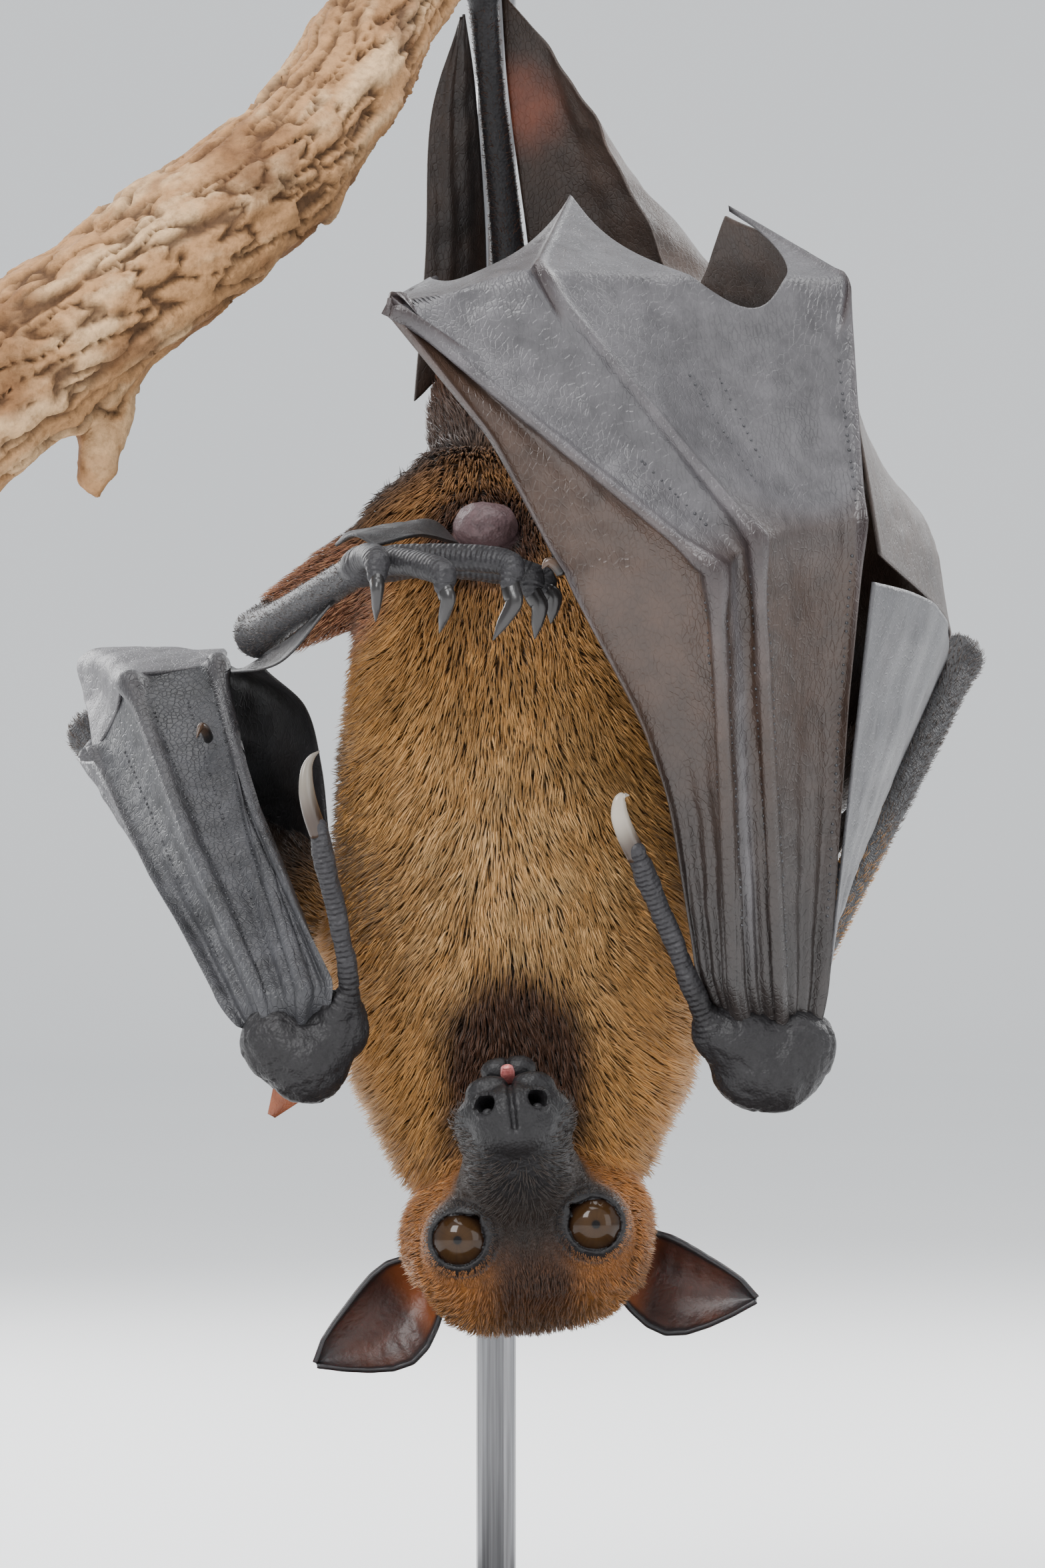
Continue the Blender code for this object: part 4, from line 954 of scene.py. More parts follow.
def tufts(p, n, length, width, lift, lie, rng, clump):
    """Points of three-sided locks: a root ring, a middle ring and a tip."""
    sideways = np.cross(lie, n)
    turn = rng.normal(0, 0.20, len(p)) + 0.35 * noise(p, 7.0, 61)
    flow = lie * np.cos(turn)[:, None] + sideways * np.sin(turn)[:, None]
    length = length * rng.uniform(0.72, 1.15, len(p))
    rise = lift + rng.normal(0, 0.10, len(p))
    first = flow * np.cos(rise + 0.28)[:, None] + n * np.sin(rise + 0.28)[:, None]
    second = flow * np.cos(rise - 0.22)[:, None] + n * np.sin(rise - 0.22)[:, None]
    root = p - n * ROOT_SUNK
    middle = root + first * (length * 0.5)[:, None]
    tip = middle + second * (length * 0.55)[:, None]
    cells = np.floor(p / clump + 0.35 * noise(p, clump * 1.5, 62)[:, None]).astype(np.int64)
    _, key = np.unique(cells @ np.array([1, 4099, 16785407]), return_inverse=True)
    key = key.ravel()
    count = np.bincount(key)
    for points, pull in ((middle, 0.16), (tip, 0.42)):
        centre = np.stack([np.bincount(key, points[:, k]) / count for k in range(3)], 1)
        points += (centre[key] - points) * pull
    across = normalised(np.cross(tip - root, n))
    up = normalised(np.cross(across, tip - root))
    half = (width * rng.uniform(0.75, 1.2, len(p)) / 2)[:, None]
    rings = []
    for place, size in ((root, 0.9), (middle, 0.85)):
        rings += [place - across * half * size, place + across * half * size, place + up * half * size * 1.1]
    return np.stack(rings + [tip], 1), key


TUFT_QUADS = np.array(((0, 1, 4, 3), (1, 2, 5, 4), (2, 0, 3, 5)))
TUFT_TRIS = np.array(((3, 4, 6), (4, 5, 6), (5, 3, 6), (0, 2, 1)))
TUFT_UV = np.array(((-0.5, -0.5), (0.5, -0.5), (0, -0.5), (-0.4, 0.1), (0.4, 0.1), (0, 0.1), (0, 0.5))) * PATCH


def tuft_tints(p, rng, key, count, length):
    """Dark roots, full colour along the lock and paler tips."""
    colour = markings(p)
    lock = rng.normal(0, 1, count)[key]
    own = rng.normal(0, 1, len(p))
    tone = np.clip(1.0 + 0.11 * lock + 0.12 * own, 0.55, 1.6)[:, None]
    golden = smoothstep(colour[:, 0], 0.12, 0.30)
    pale = (golden * (rng.random(len(p)) < 0.34) * 0.42)[:, None]
    tip = colour * 1.18
    tip = tip + (BUFF * 1.05 - tip) * pale
    root = colour * np.where(length > 3, 0.34, 0.6)[:, None]
    return np.stack([root] * 3 + [colour * 0.86] * 3 + [tip], 1) * tone[:, None]


class BAT_OT_coat(Operator):
    """Fur as overlapping locks of solid mesh that follow the lie of the coat"""
    bl_idname = "bat.coat"
    bl_label = "Coat"

    def execute(self, context):
        rng = np.random.default_rng(7)
        settings = context.scene.bat
        material = coat_material()
        p, n = skin_samples(rng, lambda at, up: coat_plan(at, up)[3] * settings.coat_density)
        length, width, lift, _, lie, fields = coat_plan(p, n)
        length = length * settings.coat_length
        pieces = coat_piece_of(p, fields)
        for number, name in enumerate(COAT_PIECES):
            mine = np.flatnonzero(pieces == number)
            if len(mine) > MOST_TUFTS:
                mine = np.sort(rng.choice(mine, MOST_TUFTS, replace=False))
            if not len(mine):
                raise RuntimeError("no roots for " + name)
            clump = 1.3 if number < 2 else 2.3
            points, key = tufts(p[mine], n[mine], length[mine], width[mine], lift[mine], lie[mine], rng, clump)
            tint = tuft_tints(p[mine], rng, key, key.max() + 1, length[mine])
            first = (np.arange(len(mine)) * 7)[:, None, None]
            obj = new_piece(name, points.reshape(-1, 3),
                            [(TUFT_QUADS + first).reshape(-1, 4), (TUFT_TRIS + first).reshape(-1, 3)],
                            material, tint.reshape(-1, 3))
            place = unwrapped(number, p[mine])
            uv = place[:, None, :] + TUFT_UV
            corner = np.zeros(len(obj.data.loops), np.int32)
            obj.data.loops.foreach_get("vertex_index", corner)
            layer = obj.data.uv_layers.new(name="OFBake")
            layer.data.foreach_set("uv", uv.reshape(-1, 2)[corner].astype(np.float32).ravel())
            settle(obj, "golden_fur" if 2 < number < 6 else "dark_fur" if number > 5 else "red_fur")
            print(name, len(mine), "tufts")
        return {"FINISHED"}


# ---------------------------------------------------------------- eyes, tongue, ears
def turned(centre, forward, profile, sides, up=(0.1, 0.2, 1.0)):
    """Solid of revolution: rings of (along, radius) round a line, closed at both ends where the radius is 0."""
    forward = normalised(np.asarray(forward, float))
    across = normalised(np.cross(forward, np.asarray(up, float)))
    above = np.cross(across, forward)
    angles = np.linspace(0, 2 * math.pi, sides, endpoint=False)
    ring = np.cos(angles)[:, None] * across + np.sin(angles)[:, None] * above
    verts = [centre + forward * profile[0][0]]
    for along, radius in profile[1:-1]:
        verts.extend(centre + forward * along + ring * radius)
    verts.append(centre + forward * profile[-1][0])
    rows = len(profile) - 2
    k = np.arange(sides)
    after = (k + 1) % sides
    tris = [np.stack([np.zeros(sides, int), 1 + after, 1 + k], 1)]
    last = 1 + (rows - 1) * sides
    tris.append(np.stack([np.full(sides, 1 + rows * sides), last + k, last + after], 1))
    quads = [1 + np.stack([r * sides + k, r * sides + after, (r + 1) * sides + after, (r + 1) * sides + k], 1)
             for r in range(rows - 1)]
    return np.array(verts), [np.concatenate(quads), np.concatenate(tris)]


def eye_material():
    mat, tree, bsdf = shader("eye_gloss", 0.2, specular=0.05, coat=0.4)
    bsdf.inputs["Coat Roughness"].default_value = 0.02
    tree.links.new(attribute(tree, "tint"), bsdf.inputs["Base Color"])
    return mat


IRIS_BROWN = vec(0.020, 0.009, 0.004)
IRIS_OLIVE = vec(0.040, 0.020, 0.007)


class BAT_OT_eyes(Operator):
    """Two glossy eyes with a fibrous brown iris and a small pupil"""
    bl_idname = "bat.eyes"
    bl_label = "Eyes"

    def execute(self, context):
        material = eye_material()
        for label, side in SIDES.items():
            centre = head_world(EYE_AT * vec(side, 1, 1))
            gaze = normalised((GAZE * vec(side, 1, 1)) @ HEAD_AXES)
            bend = np.linspace(math.pi, 0, 64)
            radius = EYE_RADIUS * np.sin(bend)
            along = EYE_RADIUS * np.cos(bend)
            cornea = smoothstep(-radius, -5.4, -3.0) * (along > 0)
            along = along + 0.35 * cornea
            profile = list(zip(along, radius))
            profile[0] = (-EYE_RADIUS, 0.0)
            profile[-1] = (along[-1], 0.0)
            verts, faces = turned(centre, gaze, profile, 72)
            out = verts - centre
            depth = out @ gaze
            flat = out - depth[:, None] * gaze
            spoke = normalised(flat)
            off = np.linalg.norm(flat, axis=1)
            fibre = noise(spoke * 14 + 3, 1.0, 70 + side) * 0.5 + 0.5 * noise(spoke * 31, 1.0, 80)
            share = (0.45 + 0.35 * fibre + 0.4 * bell(off - 2.2, 1.2)).clip(0, 1)
            tint = mixed(np.tile(IRIS_BROWN, (len(verts), 1)), IRIS_OLIVE, share)
            tint = mixed(tint, vec(0.012, 0.006, 0.004), smoothstep(off, 4.3, 5.5) * 0.9)
            tint = mixed(tint, vec(0.004, 0.003, 0.003), smoothstep(-off, -1.15, -0.85))
            tint[depth < 0] = vec(0.02, 0.012, 0.01)
            obj = new_piece("eyeball_" + label, verts, faces, material, tint)
            settle(obj, "eye_gloss", "eye_" + label)
        mat, tree, bsdf = shader("tongue_pink", 0.28, specular=0.6)
        grain = texture(tree, "ShaderNodeTexNoise", 1800, Detail=3.0)
        colour = ramp(tree, grain.outputs[0], ((0.3, (0.42, 0.10, 0.10)), (0.7, (0.62, 0.22, 0.20))))
        tree.links.new(colour, bsdf.inputs["Base Color"])
        bump(tree, bsdf, grain.outputs[0], 0.3, 0.0003)
        path = [head_world(vec(*at)) for at in ((-0.2, 26.0, -21.6), (-0.2, 29.0, -22.0), (-0.2, 30.8, -22.3),
                                                (-0.2, 31.6, -21.6))]
        verts, faces = tube(path, [1.5, 1.55, 1.3, 0.5], 18, 16, flat=0.55, side_dir=HEAD_X)
        settle(new_piece("tongue", verts, faces, mat), "tongue_skin", "tongue_tip")
        return {"FINISHED"}


def tube(points, radii, samples, sides, flat=1.0, side_dir=(1, 0, 0), relief=None):
    """Closed round form along a smooth path; flat narrows it across side_dir."""
    path = smooth_path(points, samples)
    sizes = spread(radii, samples)
    tangents = normalised(np.gradient(path, axis=0))
    across = np.asarray(side_dir, float) - tangents * (tangents @ np.asarray(side_dir, float))[:, None]
    across = normalised(across)
    above = np.cross(tangents, across)
    angles = np.linspace(0, 2 * math.pi, sides, endpoint=False)
    cos, sin = np.cos(angles), np.sin(angles)
    reach = np.tile(sizes[:, None], (1, sides))
    if relief is not None:
        reach = reach + relief(path, angles)
    rings = (path[:, None] + across[:, None] * (cos * reach)[..., None]
             + above[:, None] * (sin * reach * flat)[..., None])
    ends = [path[0] - tangents[0] * sizes[0] * 0.5, path[-1] + tangents[-1] * sizes[-1] * 0.5]
    verts = np.concatenate([rings.reshape(-1, 3), np.array(ends)])
    k = np.arange(sides)
    after = (k + 1) % sides
    quads = np.concatenate([
        np.stack([r * sides + k, r * sides + after, (r + 1) * sides + after, (r + 1) * sides + k], 1)
                            for r in range(samples - 1)])
    n = samples * sides
    last = (samples - 1) * sides
    tris = np.concatenate([np.stack([after, k, np.full(sides, n)], 1),
                           np.stack([last + k, last + after, np.full(sides, n + 1)], 1)])
    return verts, [quads, tris]


def closed_sheet(grid, half):
    """Points and faces of a thin closed body over a grid; half is the half thickness at each point."""
    rows, cols = grid.shape[:2]
    normal = grid_normals(grid)
    half = np.broadcast_to(half, (rows, cols))[..., None]
    verts = np.concatenate([(grid + normal * half).reshape(-1, 3), (grid - normal * half).reshape(-1, 3)])
    i, j = np.meshgrid(np.arange(rows - 1), np.arange(cols - 1), indexing="ij")
    a = (i * cols + j).ravel()
    off = rows * cols
    top = np.stack([a, a + cols, a + cols + 1, a + 1], 1)
    low = np.stack([a, a + 1, a + cols + 1, a + cols], 1) + off
    rim = np.concatenate([np.arange(cols), np.arange(1, rows) * cols + cols - 1,
                          (rows - 1) * cols + np.arange(cols - 2, -1, -1), np.arange(rows - 2, 0, -1) * cols])
    after = np.roll(rim, -1)
    side = np.stack([rim, after, after + off, rim + off], 1)
    return verts, [np.concatenate([top, low, side])]


def ear_material():
    mat, tree, bsdf = shader("ear_skin", 0.42, specular=0.4)
    bsdf.inputs["Subsurface Weight"].default_value = 0.15
    bsdf.inputs["Subsurface Scale"].default_value = 0.002
    tree.links.new(attribute(tree, "tint"), bsdf.inputs["Base Color"])
    creases = texture(tree, "ShaderNodeTexNoise", 700, Detail=4.0)
    bump(tree, bsdf, creases.outputs[0], 0.4, 0.0005)
    return mat


EAR_WIDTHS = (7.2, 9.7, 10.9, 10.8, 9.4, 7.2, 4.4, 0.5)
EAR_LEAN = (0, -0.7, -1.8, -2.6, -2.5, -1.7, -0.7, 0)


def ear_grid(label, side, rows=96, cols=49):
    """Leaf-shaped shell, hollow towards the front, with a rolled rim and fine cross folds."""
    root, tip = EAR_ROOT[label], EAR_TIP[label]
    along = tip - root
    forward = vec(0, -1, 0)
    across = normalised(np.cross(forward, along)) * side
    t = np.linspace(0, 1, rows)[:, None]
    s = np.linspace(-1, 1, cols)[None, :]
    key = np.linspace(0, 1, len(EAR_WIDTHS))
    fine = np.clip(t[:, 0], 0, 1)
    width = np.interp(fine, key, smooth_path([vec(w, 0, 0) for w in EAR_WIDTHS], len(key))[:, 0])
    kernel = np.hanning(9) / np.hanning(9).sum()
    width = np.convolve(np.pad(width, 4, mode="edge"), kernel, mode="valid")
    width[-1] = 0.45
    lean = np.interp(fine, key, EAR_LEAN)
    centre = root + along * t + across * lean[:, None]
    curl = np.abs(s) ** 1.8 * 6.5 * (1 - 0.75 * t)
    roll = 0.7 * smoothstep(np.abs(s), 0.86, 1.0) * (1 - t)
    folds = 0.16 * np.sin(t * 46 + 1.5 * s) * smoothstep(np.abs(s), 0.1, 0.6) * (s * side > 0) * (1 - t)
    grid = centre[:, None, :] + across * (width[:, None] * s * (1 - 0.08 * np.abs(s)))[..., None]
    return grid + forward * (curl + roll + folds - 2)[..., None], t, s


class BAT_OT_ears(Operator):
    """Two pointed ears with a thick dark rim and a red-brown hollow"""
    bl_idname = "bat.ears"
    bl_label = "Ears"

    def execute(self, context):
        material = ear_material()
        for label, side in SIDES.items():
            grid, t, s = ear_grid(label, side)
            edge = np.maximum(smoothstep(np.abs(s), 0.80, 0.97), smoothstep(t, 0.66, 1.0))
            half = 0.32 + 0.22 * smoothstep(np.abs(s), 0.86, 0.97) * np.ones_like(t)
            verts, faces = closed_sheet(grid, half)
            p = verts
            inner = mixed(np.tile(vec(0.050, 0.017, 0.010), (len(p), 1)), vec(0.024, 0.011, 0.009),
                          (0.5 + 0.5 * layered_noise(p, 4.0, 90)).clip(0, 1))
            flat_t = np.tile(np.broadcast_to(t, grid.shape[:2]).ravel(), 2)
            inner = mixed(inner, vec(0.26, 0.075, 0.02), smoothstep(-flat_t, -0.30, -0.05) * 0.8)
            tint = mixed(inner, BLACK_SKIN * 1.5, np.tile(edge.ravel(), 2))
            front_count = grid.shape[0] * grid.shape[1]
            back = np.concatenate([np.zeros(front_count), np.ones(front_count)])
            front_is_top = np.mean((verts[:len(verts) // 2] - verts[len(verts) // 2:])[:, 1]) < 0
            back = back if front_is_top else 1 - back
            tint = mixed(tint, BLACK_SKIN * 1.8, back * 0.8)
            obj = new_piece("ear_shell_" + label, verts, faces, material, tint)
            settle(obj, "flank_skin", "ear_" + label)
        return {"FINISHED"}


# ---------------------------------------------------------------- wings
HAND_START = {
    "right": (vec(38.2, -55, 147), vec(45, -59, 148), vec(54.5, -56.5, 148), vec(63.6, -47, 147)),
    "left": (vec(-40.2, -49, 152), vec(-46.5, -50.5, 151), vec(-55.5, -46, 150), vec(-64.5, -36, 149)),
}
MCP = {
    "right": (vec(8.5, -80, 239), vec(40.4, -88, 239.4), vec(49, -84, 246.5), vec(72.5, -56, 251)),
    "left": (vec(-68, 26, 219), vec(-67.5, 31, 222), vec(-87, 27, 218), vec(-95, 44, 202)),
}
IPJ = (vec(-28.8, -84, 295.0), vec(-27.8, -83, 295.6), vec(2.9, -80, 302.7), vec(69.6, -50, 302.0))
TIP = (vec(-21.5, 14, 304), vec(-19.6, 15, 306), vec(10.4, -20, 321.5), vec(44.6, -15, 319.5))
LEADING_EDGE = (HAND_START["right"][0], vec(30.8, -66, 192), vec(24.6, -73, 209), MCP["right"][0],
                vec(-6.6, -83, 267.6), IPJ[0], TIP[0])
LEADING_MARKS = (0, 0.42, 0.66, 1.0, 1.42, 2.0, 3.0)
MEMBRANE = 0.26                       # half thickness
WING_DARK = vec(0.018, 0.014, 0.013)
# WING_BROWN is partly the membranes' own brown and partly painted glow, light shining through the thin skin
WING_BROWN = vec(0.062, 0.036, 0.025)
# WING_PALE is partly the membrane's own grey and partly painted sheen, the bright sky reflected on the upper
# wing
WING_PALE = vec(0.082, 0.078, 0.083)
WING_SLATE = vec(0.026, 0.026, 0.029)
BONE_PALE = vec(0.075, 0.068, 0.072)
KNOB_PLUM = vec(0.026, 0.017, 0.017)


def along_points(knots, marks, at):
    knots = np.array(knots)
    return np.stack([np.interp(at, marks, knots[:, k]) for k in range(3)], -1)


def wing_fan(paths, last, rows, gap_cols, sag, scallop, bones):
    """Grid of a hand wing, its half thickness, and each point's mark, gap and place in the gap.
    Paths are the leading edge and fingers, marks count bones from the wrist,
    and scallop draws the free edge back."""
    marks = np.linspace(0, last, rows)
    knots = np.arange(last + 1)
    grids, halves, places, gaps = [], [], [], []
    for f in range(len(paths) - 1):
        cols = gap_cols[f]
        t = np.arange(cols) / (cols - 1)
        t = 0.6 * (0.5 - 0.5 * np.cos(math.pi * t)) + 0.4 * t
        if f:
            t = t[1:]
        depth, lean = scallop[f]
        w = t ** lean
        back = depth * (4 * w * (1 - w)) ** 0.8
        drawn = np.where(marks[:, None] <= 1, marks[:, None],
                         1 + (marks[:, None] - 1) * (last - 1 - back[None]) / max(last - 1, 1))
        a = along_points(paths[f], knots, drawn)
        b = along_points(paths[f + 1], knots, drawn)
        grid = a + (b - a) * t[None, :, None]
        bow = (4 * t * (1 - t))[None, :, None] * np.minimum(1, marks * 1.5)[:, None, None]
        grid = grid + np.asarray(sag[f]) * bow
        width = np.linalg.norm(b - a, axis=-1)
        half = np.full(width.shape, MEMBRANE)
        for bone, apart in ((bones[f], t[None] * width), (bones[f + 1], (1 - t[None]) * width)):
            thick, taper, knob, joints = bone
            radius = thick * (1 - taper * marks)
            for joint in joints:
                radius = radius + knob * bell(marks - joint, 0.075)
            radius = np.maximum(radius, 0.42)[:, None]
            half = np.maximum(half, MEMBRANE + (radius - MEMBRANE) * bell(apart, radius * 0.95))
        grids.append(grid)
        halves.append(half)
        places.append(np.broadcast_to(t[None], width.shape))
        gaps.append(np.full(width.shape, f))
    return (np.concatenate(grids, 1), np.concatenate(halves, 1), np.broadcast_to(marks[:, None], (rows, sum(
        g.shape[1] for g in gaps))), np.concatenate(gaps, 1), np.concatenate(places, 1))


def grid_normals(grid):
    """Directions across a sheet, evened out between neighbours so that ridges do not fold over."""
    normal = normalised(np.cross(np.gradient(grid, axis=0), np.gradient(grid, axis=1)))
    for axis in (0, 1, 1, 1, 1, 0):
        size = normal.shape[axis]
        wide = np.pad(normal, [(1, 1) if k == axis else (0, 0) for k in range(3)], mode="edge")
        normal = normalised(2 * normal + wide.take(range(size), axis) + wide.take(range(2, size + 2), axis))
    return normal


def domes(centres, normals, radii, sides=6):
    """Small closed bumps set on a surface."""
    across = normalised(np.cross(normals, vec(0.3, 0.5, 0.81)))
    above = np.cross(normals, across)
    angles = np.linspace(0, 2 * math.pi, sides, endpoint=False)
    verts = []
    for rise, size in ((-0.4, 1.0), (0.45, 0.8)):
        for angle in angles:
            spoke = across * math.cos(angle) + above * math.sin(angle)
            verts.append(centres + spoke * (radii * size)[:, None] + normals * (radii * rise)[:, None])
    verts.append(centres + normals * (radii * 0.95)[:, None])
    verts.append(centres - normals * (radii * 0.5)[:, None])
    stack = np.stack(verts, 1)
    k = np.arange(sides)
    after = (k + 1) % sides
    quads = np.stack([k, after, sides + after, sides + k], 1)
    tris = np.concatenate([np.stack([sides + k, sides + after, np.full(sides, 2 * sides)], 1),
                           np.stack([after, k, np.full(sides, 2 * sides + 1)], 1)])
    first = (np.arange(len(centres)) * (2 * sides + 2))[:, None, None]
    return stack.reshape(-1, 3), (quads + first).reshape(-1, 4), (tris + first).reshape(-1, 3)


def wing_material(name, rough, crease=0.5):
    """Leathery membrane: fine crossed creases, slight blotches and a satin sheen."""
    mat, tree, bsdf = shader(name, rough, specular=0.5)
    blotch = texture(tree, "ShaderNodeTexNoise", 160, Detail=5.0, Roughness=0.62)
    tone = ramp(tree, blotch.outputs[0], ((0.30, (0.70, 0.70, 0.70)), (0.72, (1.28, 1.28, 1.28))))
    tree.links.new(mix_colour(tree, 1.0, attribute(tree, "tint"), tone, "MULTIPLY"), bsdf.inputs["Base Color"])
    uneven = math_node(tree, "MULTIPLY_ADD", blotch.outputs[0], 0.22)
    uneven.node.inputs[2].default_value = rough - 0.11
    tree.links.new(uneven, bsdf.inputs["Roughness"])
    cells = texture(tree, "ShaderNodeTexVoronoi", 900, (1, 1, 0.55), feature="DISTANCE_TO_EDGE")
    lines = math_node(tree, "MINIMUM", cells.outputs["Distance"], 0.12)
    bump(tree, bsdf, lines, crease, 0.0009)
    fine = texture(tree, "ShaderNodeTexNoise", 1900, Detail=3.0)
    bump(tree, bsdf, fine.outputs[0], 0.25, 0.00025)
    slack = texture(tree, "ShaderNodeTexNoise", 210, (1, 1, 0.35), Detail=3.0, Distortion=0.8)
    bump(tree, bsdf, slack.outputs[0], 0.30, 0.0012)
    return mat


def sunk_in_wrist(grid, marks, label):
    """Draws the near end of a hand wing down into the ball of the wrist."""
    share = smoothstep(-marks, -0.10, 0.0)[..., None]
    inside = WRIST_BLOBS[label][1][0]
    return grid + (inside - grid) * vec(0.25, 0.75, 0.55) * share


def wing_piece(name, grid, half, tint, material, slot, nodes, dots=None):
    verts, faces = closed_sheet(grid, half)
    tints = np.concatenate([tint.reshape(-1, 3)] * 2)
    if dots is not None:
        more, quads, tris = dots
        faces = [np.concatenate([faces[0], quads + len(verts)]), tris + len(verts)]
        verts = np.concatenate([verts, more])
        tints = np.concatenate([tints, np.tile(WING_SLATE * 1.3, (len(more), 1))])
    return settle(new_piece(name, verts, faces, material, tints), slot, *nodes)


def dotted_lines(grid, half, marks, gaps, places, lines, pitch, rng):
    """Rows of tiny papillae on both faces: lines are (gap, place in the gap, first mark, last mark)."""
    normal = grid_normals(grid)
    centres, normals = [], []
    for gap, place, first, final in lines:
        cols = np.flatnonzero(gaps[0] == gap)
        col = cols[np.argmin(np.abs(places[0, cols] - place))]
        rows = np.flatnonzero((marks[:, 0] >= first) & (marks[:, 0] <= final))
        line = grid[rows, col]
        travelled = np.concatenate([[0], np.cumsum(np.linalg.norm(np.diff(line, axis=0), axis=1))])
        at = np.arange(0.5, travelled[-1], pitch)
        at = at + rng.uniform(-0.3, 0.3, len(at)) * pitch
        picked = rows[np.clip(np.searchsorted(travelled, at), 0, len(rows) - 1)]
        for face in (1, -1):
            centres.append(grid[picked, col] + normal[picked, col] * (half[picked, col] * face)[:, None])
            normals.append(normal[picked, col] * face)
    centres, normals = np.concatenate(centres), np.concatenate(normals)
    return domes(centres, normals, rng.uniform(0.24, 0.42, len(centres)))


def crumple(grid, size, amount, seed, share=1.0):
    """Moves a grid along its own direction by smooth noise, least at its border; share stills it at bones."""
    rows, cols = grid.shape[:2]
    i, j = np.linspace(0, 1, rows)[:, None], np.linspace(0, 1, cols)[None]
    inside = smoothstep(np.minimum(np.minimum(i, 1 - i), np.minimum(j, 1 - j)), 0.0, 0.12)
    return grid + grid_normals(grid) * (amount * share * inside * layered_noise(grid, size, seed))[..., None]


def make_right_hand_wing(material):
    mcp = MCP["right"]
    start = [s + normalised(s - m) * 5.0 for s, m in zip(HAND_START["right"], mcp)]
    paths = [[start[f], mcp[f], IPJ[f], TIP[f]] for f in range(4)]
    bones = [(1.35, 0.2, 0.4, (1.0,)), (2.0, 0.22, 1.5, (1.0, 2.0)), (1.9, 0.22, 1.3, (1.0, 2.0)),
             (1.9, 0.2, 1.3, (1.0, 2.0))]
    rows = 184
    sags = ((2, 3, 0), (0, 3, 0), (0, 5, 0))
    grid, half, marks, gaps, places = wing_fan(paths, 3, rows, (40, 36, 54), sags,
                                               ((0, 1), (0.75, 1.0), (1.12, 1.6)), bones)
    m = marks[:, 0]
    shift = along_points(LEADING_EDGE, LEADING_MARKS, m) - along_points(paths[0], np.arange(4), m)
    kernel = np.hanning(15) / np.hanning(15).sum()
    shift = np.pad(shift, ((7, 7), (0, 0)), mode="edge")
    shift = np.stack([np.convolve(shift[:, k], kernel, mode="valid") for k in range(3)], 1)
    fade = np.where(gaps == 0, (1 - places) ** 1.2, 0.0)
    grid = grid + shift[:, None, :] * fade[..., None]
    # pleats fan out from the wrist, and the slack hand membrane bows in long soft folds
    free = np.minimum(1, 9 * places * (1 - places))
    pleat = np.sin(places * 21 + gaps * 2.0) * smoothstep(-marks, -0.75, -0.10) * 0.5 * free
    soft = 0.75 * np.sin(places * 9.5 + marks * 1.4 + gaps) * smoothstep(marks, 0.4, 1.2)
    soft = soft * 4 * places * (1 - places)
    grid = grid + grid_normals(grid) * (pleat + 0.55 * soft)[..., None]
    grid = crumple(crumple(grid, 13.0, 0.6, 101, free), 4.5, 0.12, 103, free)
    grid = sunk_in_wrist(grid, marks, "right")
    p = grid.reshape(-1, 3)
    flat = [a.ravel() for a in (marks, gaps, places)]
    # painted sheen: the membrane past the knuckles is paled to WING_PALE, partly its own grey and partly the
    # sky's reflection
    outer_grey_and_sheen = smoothstep(flat[0], 0.85, 1.25)
    tint = mixed(np.tile(WING_DARK, (len(p), 1)), WING_BROWN * 0.6, smoothstep(flat[0], 0.1, 0.8))
    cloudy = (0.5 + 0.5 * layered_noise(p, 18, 5)).clip(0, 1)
    pale = mixed(np.tile(WING_PALE, (len(p), 1)), WING_PALE * 0.72, cloudy)
    tint = tint + (pale - tint) * (outer_grey_and_sheen * (flat[1] > 0))[:, None]
    # painted glow and sheen in the leading-edge gap: the brown stands partly for light shining through the thin
    # membrane, and greys outwards into WING_PALE's painted sheen
    greying = smoothstep(flat[2], 0.35, 1.0) * smoothstep(flat[0], 1.1, 1.9)
    brown = mixed(np.tile(WING_BROWN * 0.75, (len(p), 1)), WING_PALE * 0.8, greying)
    tint = tint + (brown - tint) * (smoothstep(flat[0], 0.45, 0.95) * (flat[1] == 0))[:, None]
    # painted highlight: a pale streak of WING_PALE's sheen grey across the dark lower hand, between the third
    # and fourth fingers
    streak = bell(flat[2] - 0.42, 0.16) * (flat[1] == 1) * smoothstep(flat[0], 0.05, 0.35) * (flat[0] < 1.0)
    tint = mixed(tint, WING_PALE * 1.15, streak * 0.7)
    bone = smoothstep(half.ravel(), 0.55, 1.2)
    tint = mixed(tint, BONE_PALE, bone * 0.6 * smoothstep(flat[0], 0.55, 1.0))
    knob = sum(bell(flat[0] - j, 0.07) for j in (1.0, 2.0))
    tint = mixed(tint, KNOB_PLUM, (bone * knob).clip(0, 1) * 0.85)
    rng = np.random.default_rng(11)
    lines = [(0, 0.90, 0.15, 0.95), (1, 0.14, 0.2, 0.95), (1, 0.86, 0.2, 0.95), (2, 0.07, 0.1, 0.95),
             (2, 0.9, 0.2, 0.95), (1, 0.5, 1.15, 1.6), (2, 0.30, 1.25, 1.9), (2, 0.42, 1.5, 2.1),
             (2, 0.93, 1.1, 1.9)]
    dots = dotted_lines(grid, half, marks, gaps, places, lines, 1.9, rng)
    wing_piece("hand_wing_skin_right", grid, half, tint, material, "wing_skin",
               ("hand_wing_right", "wing_tip_right"), dots)


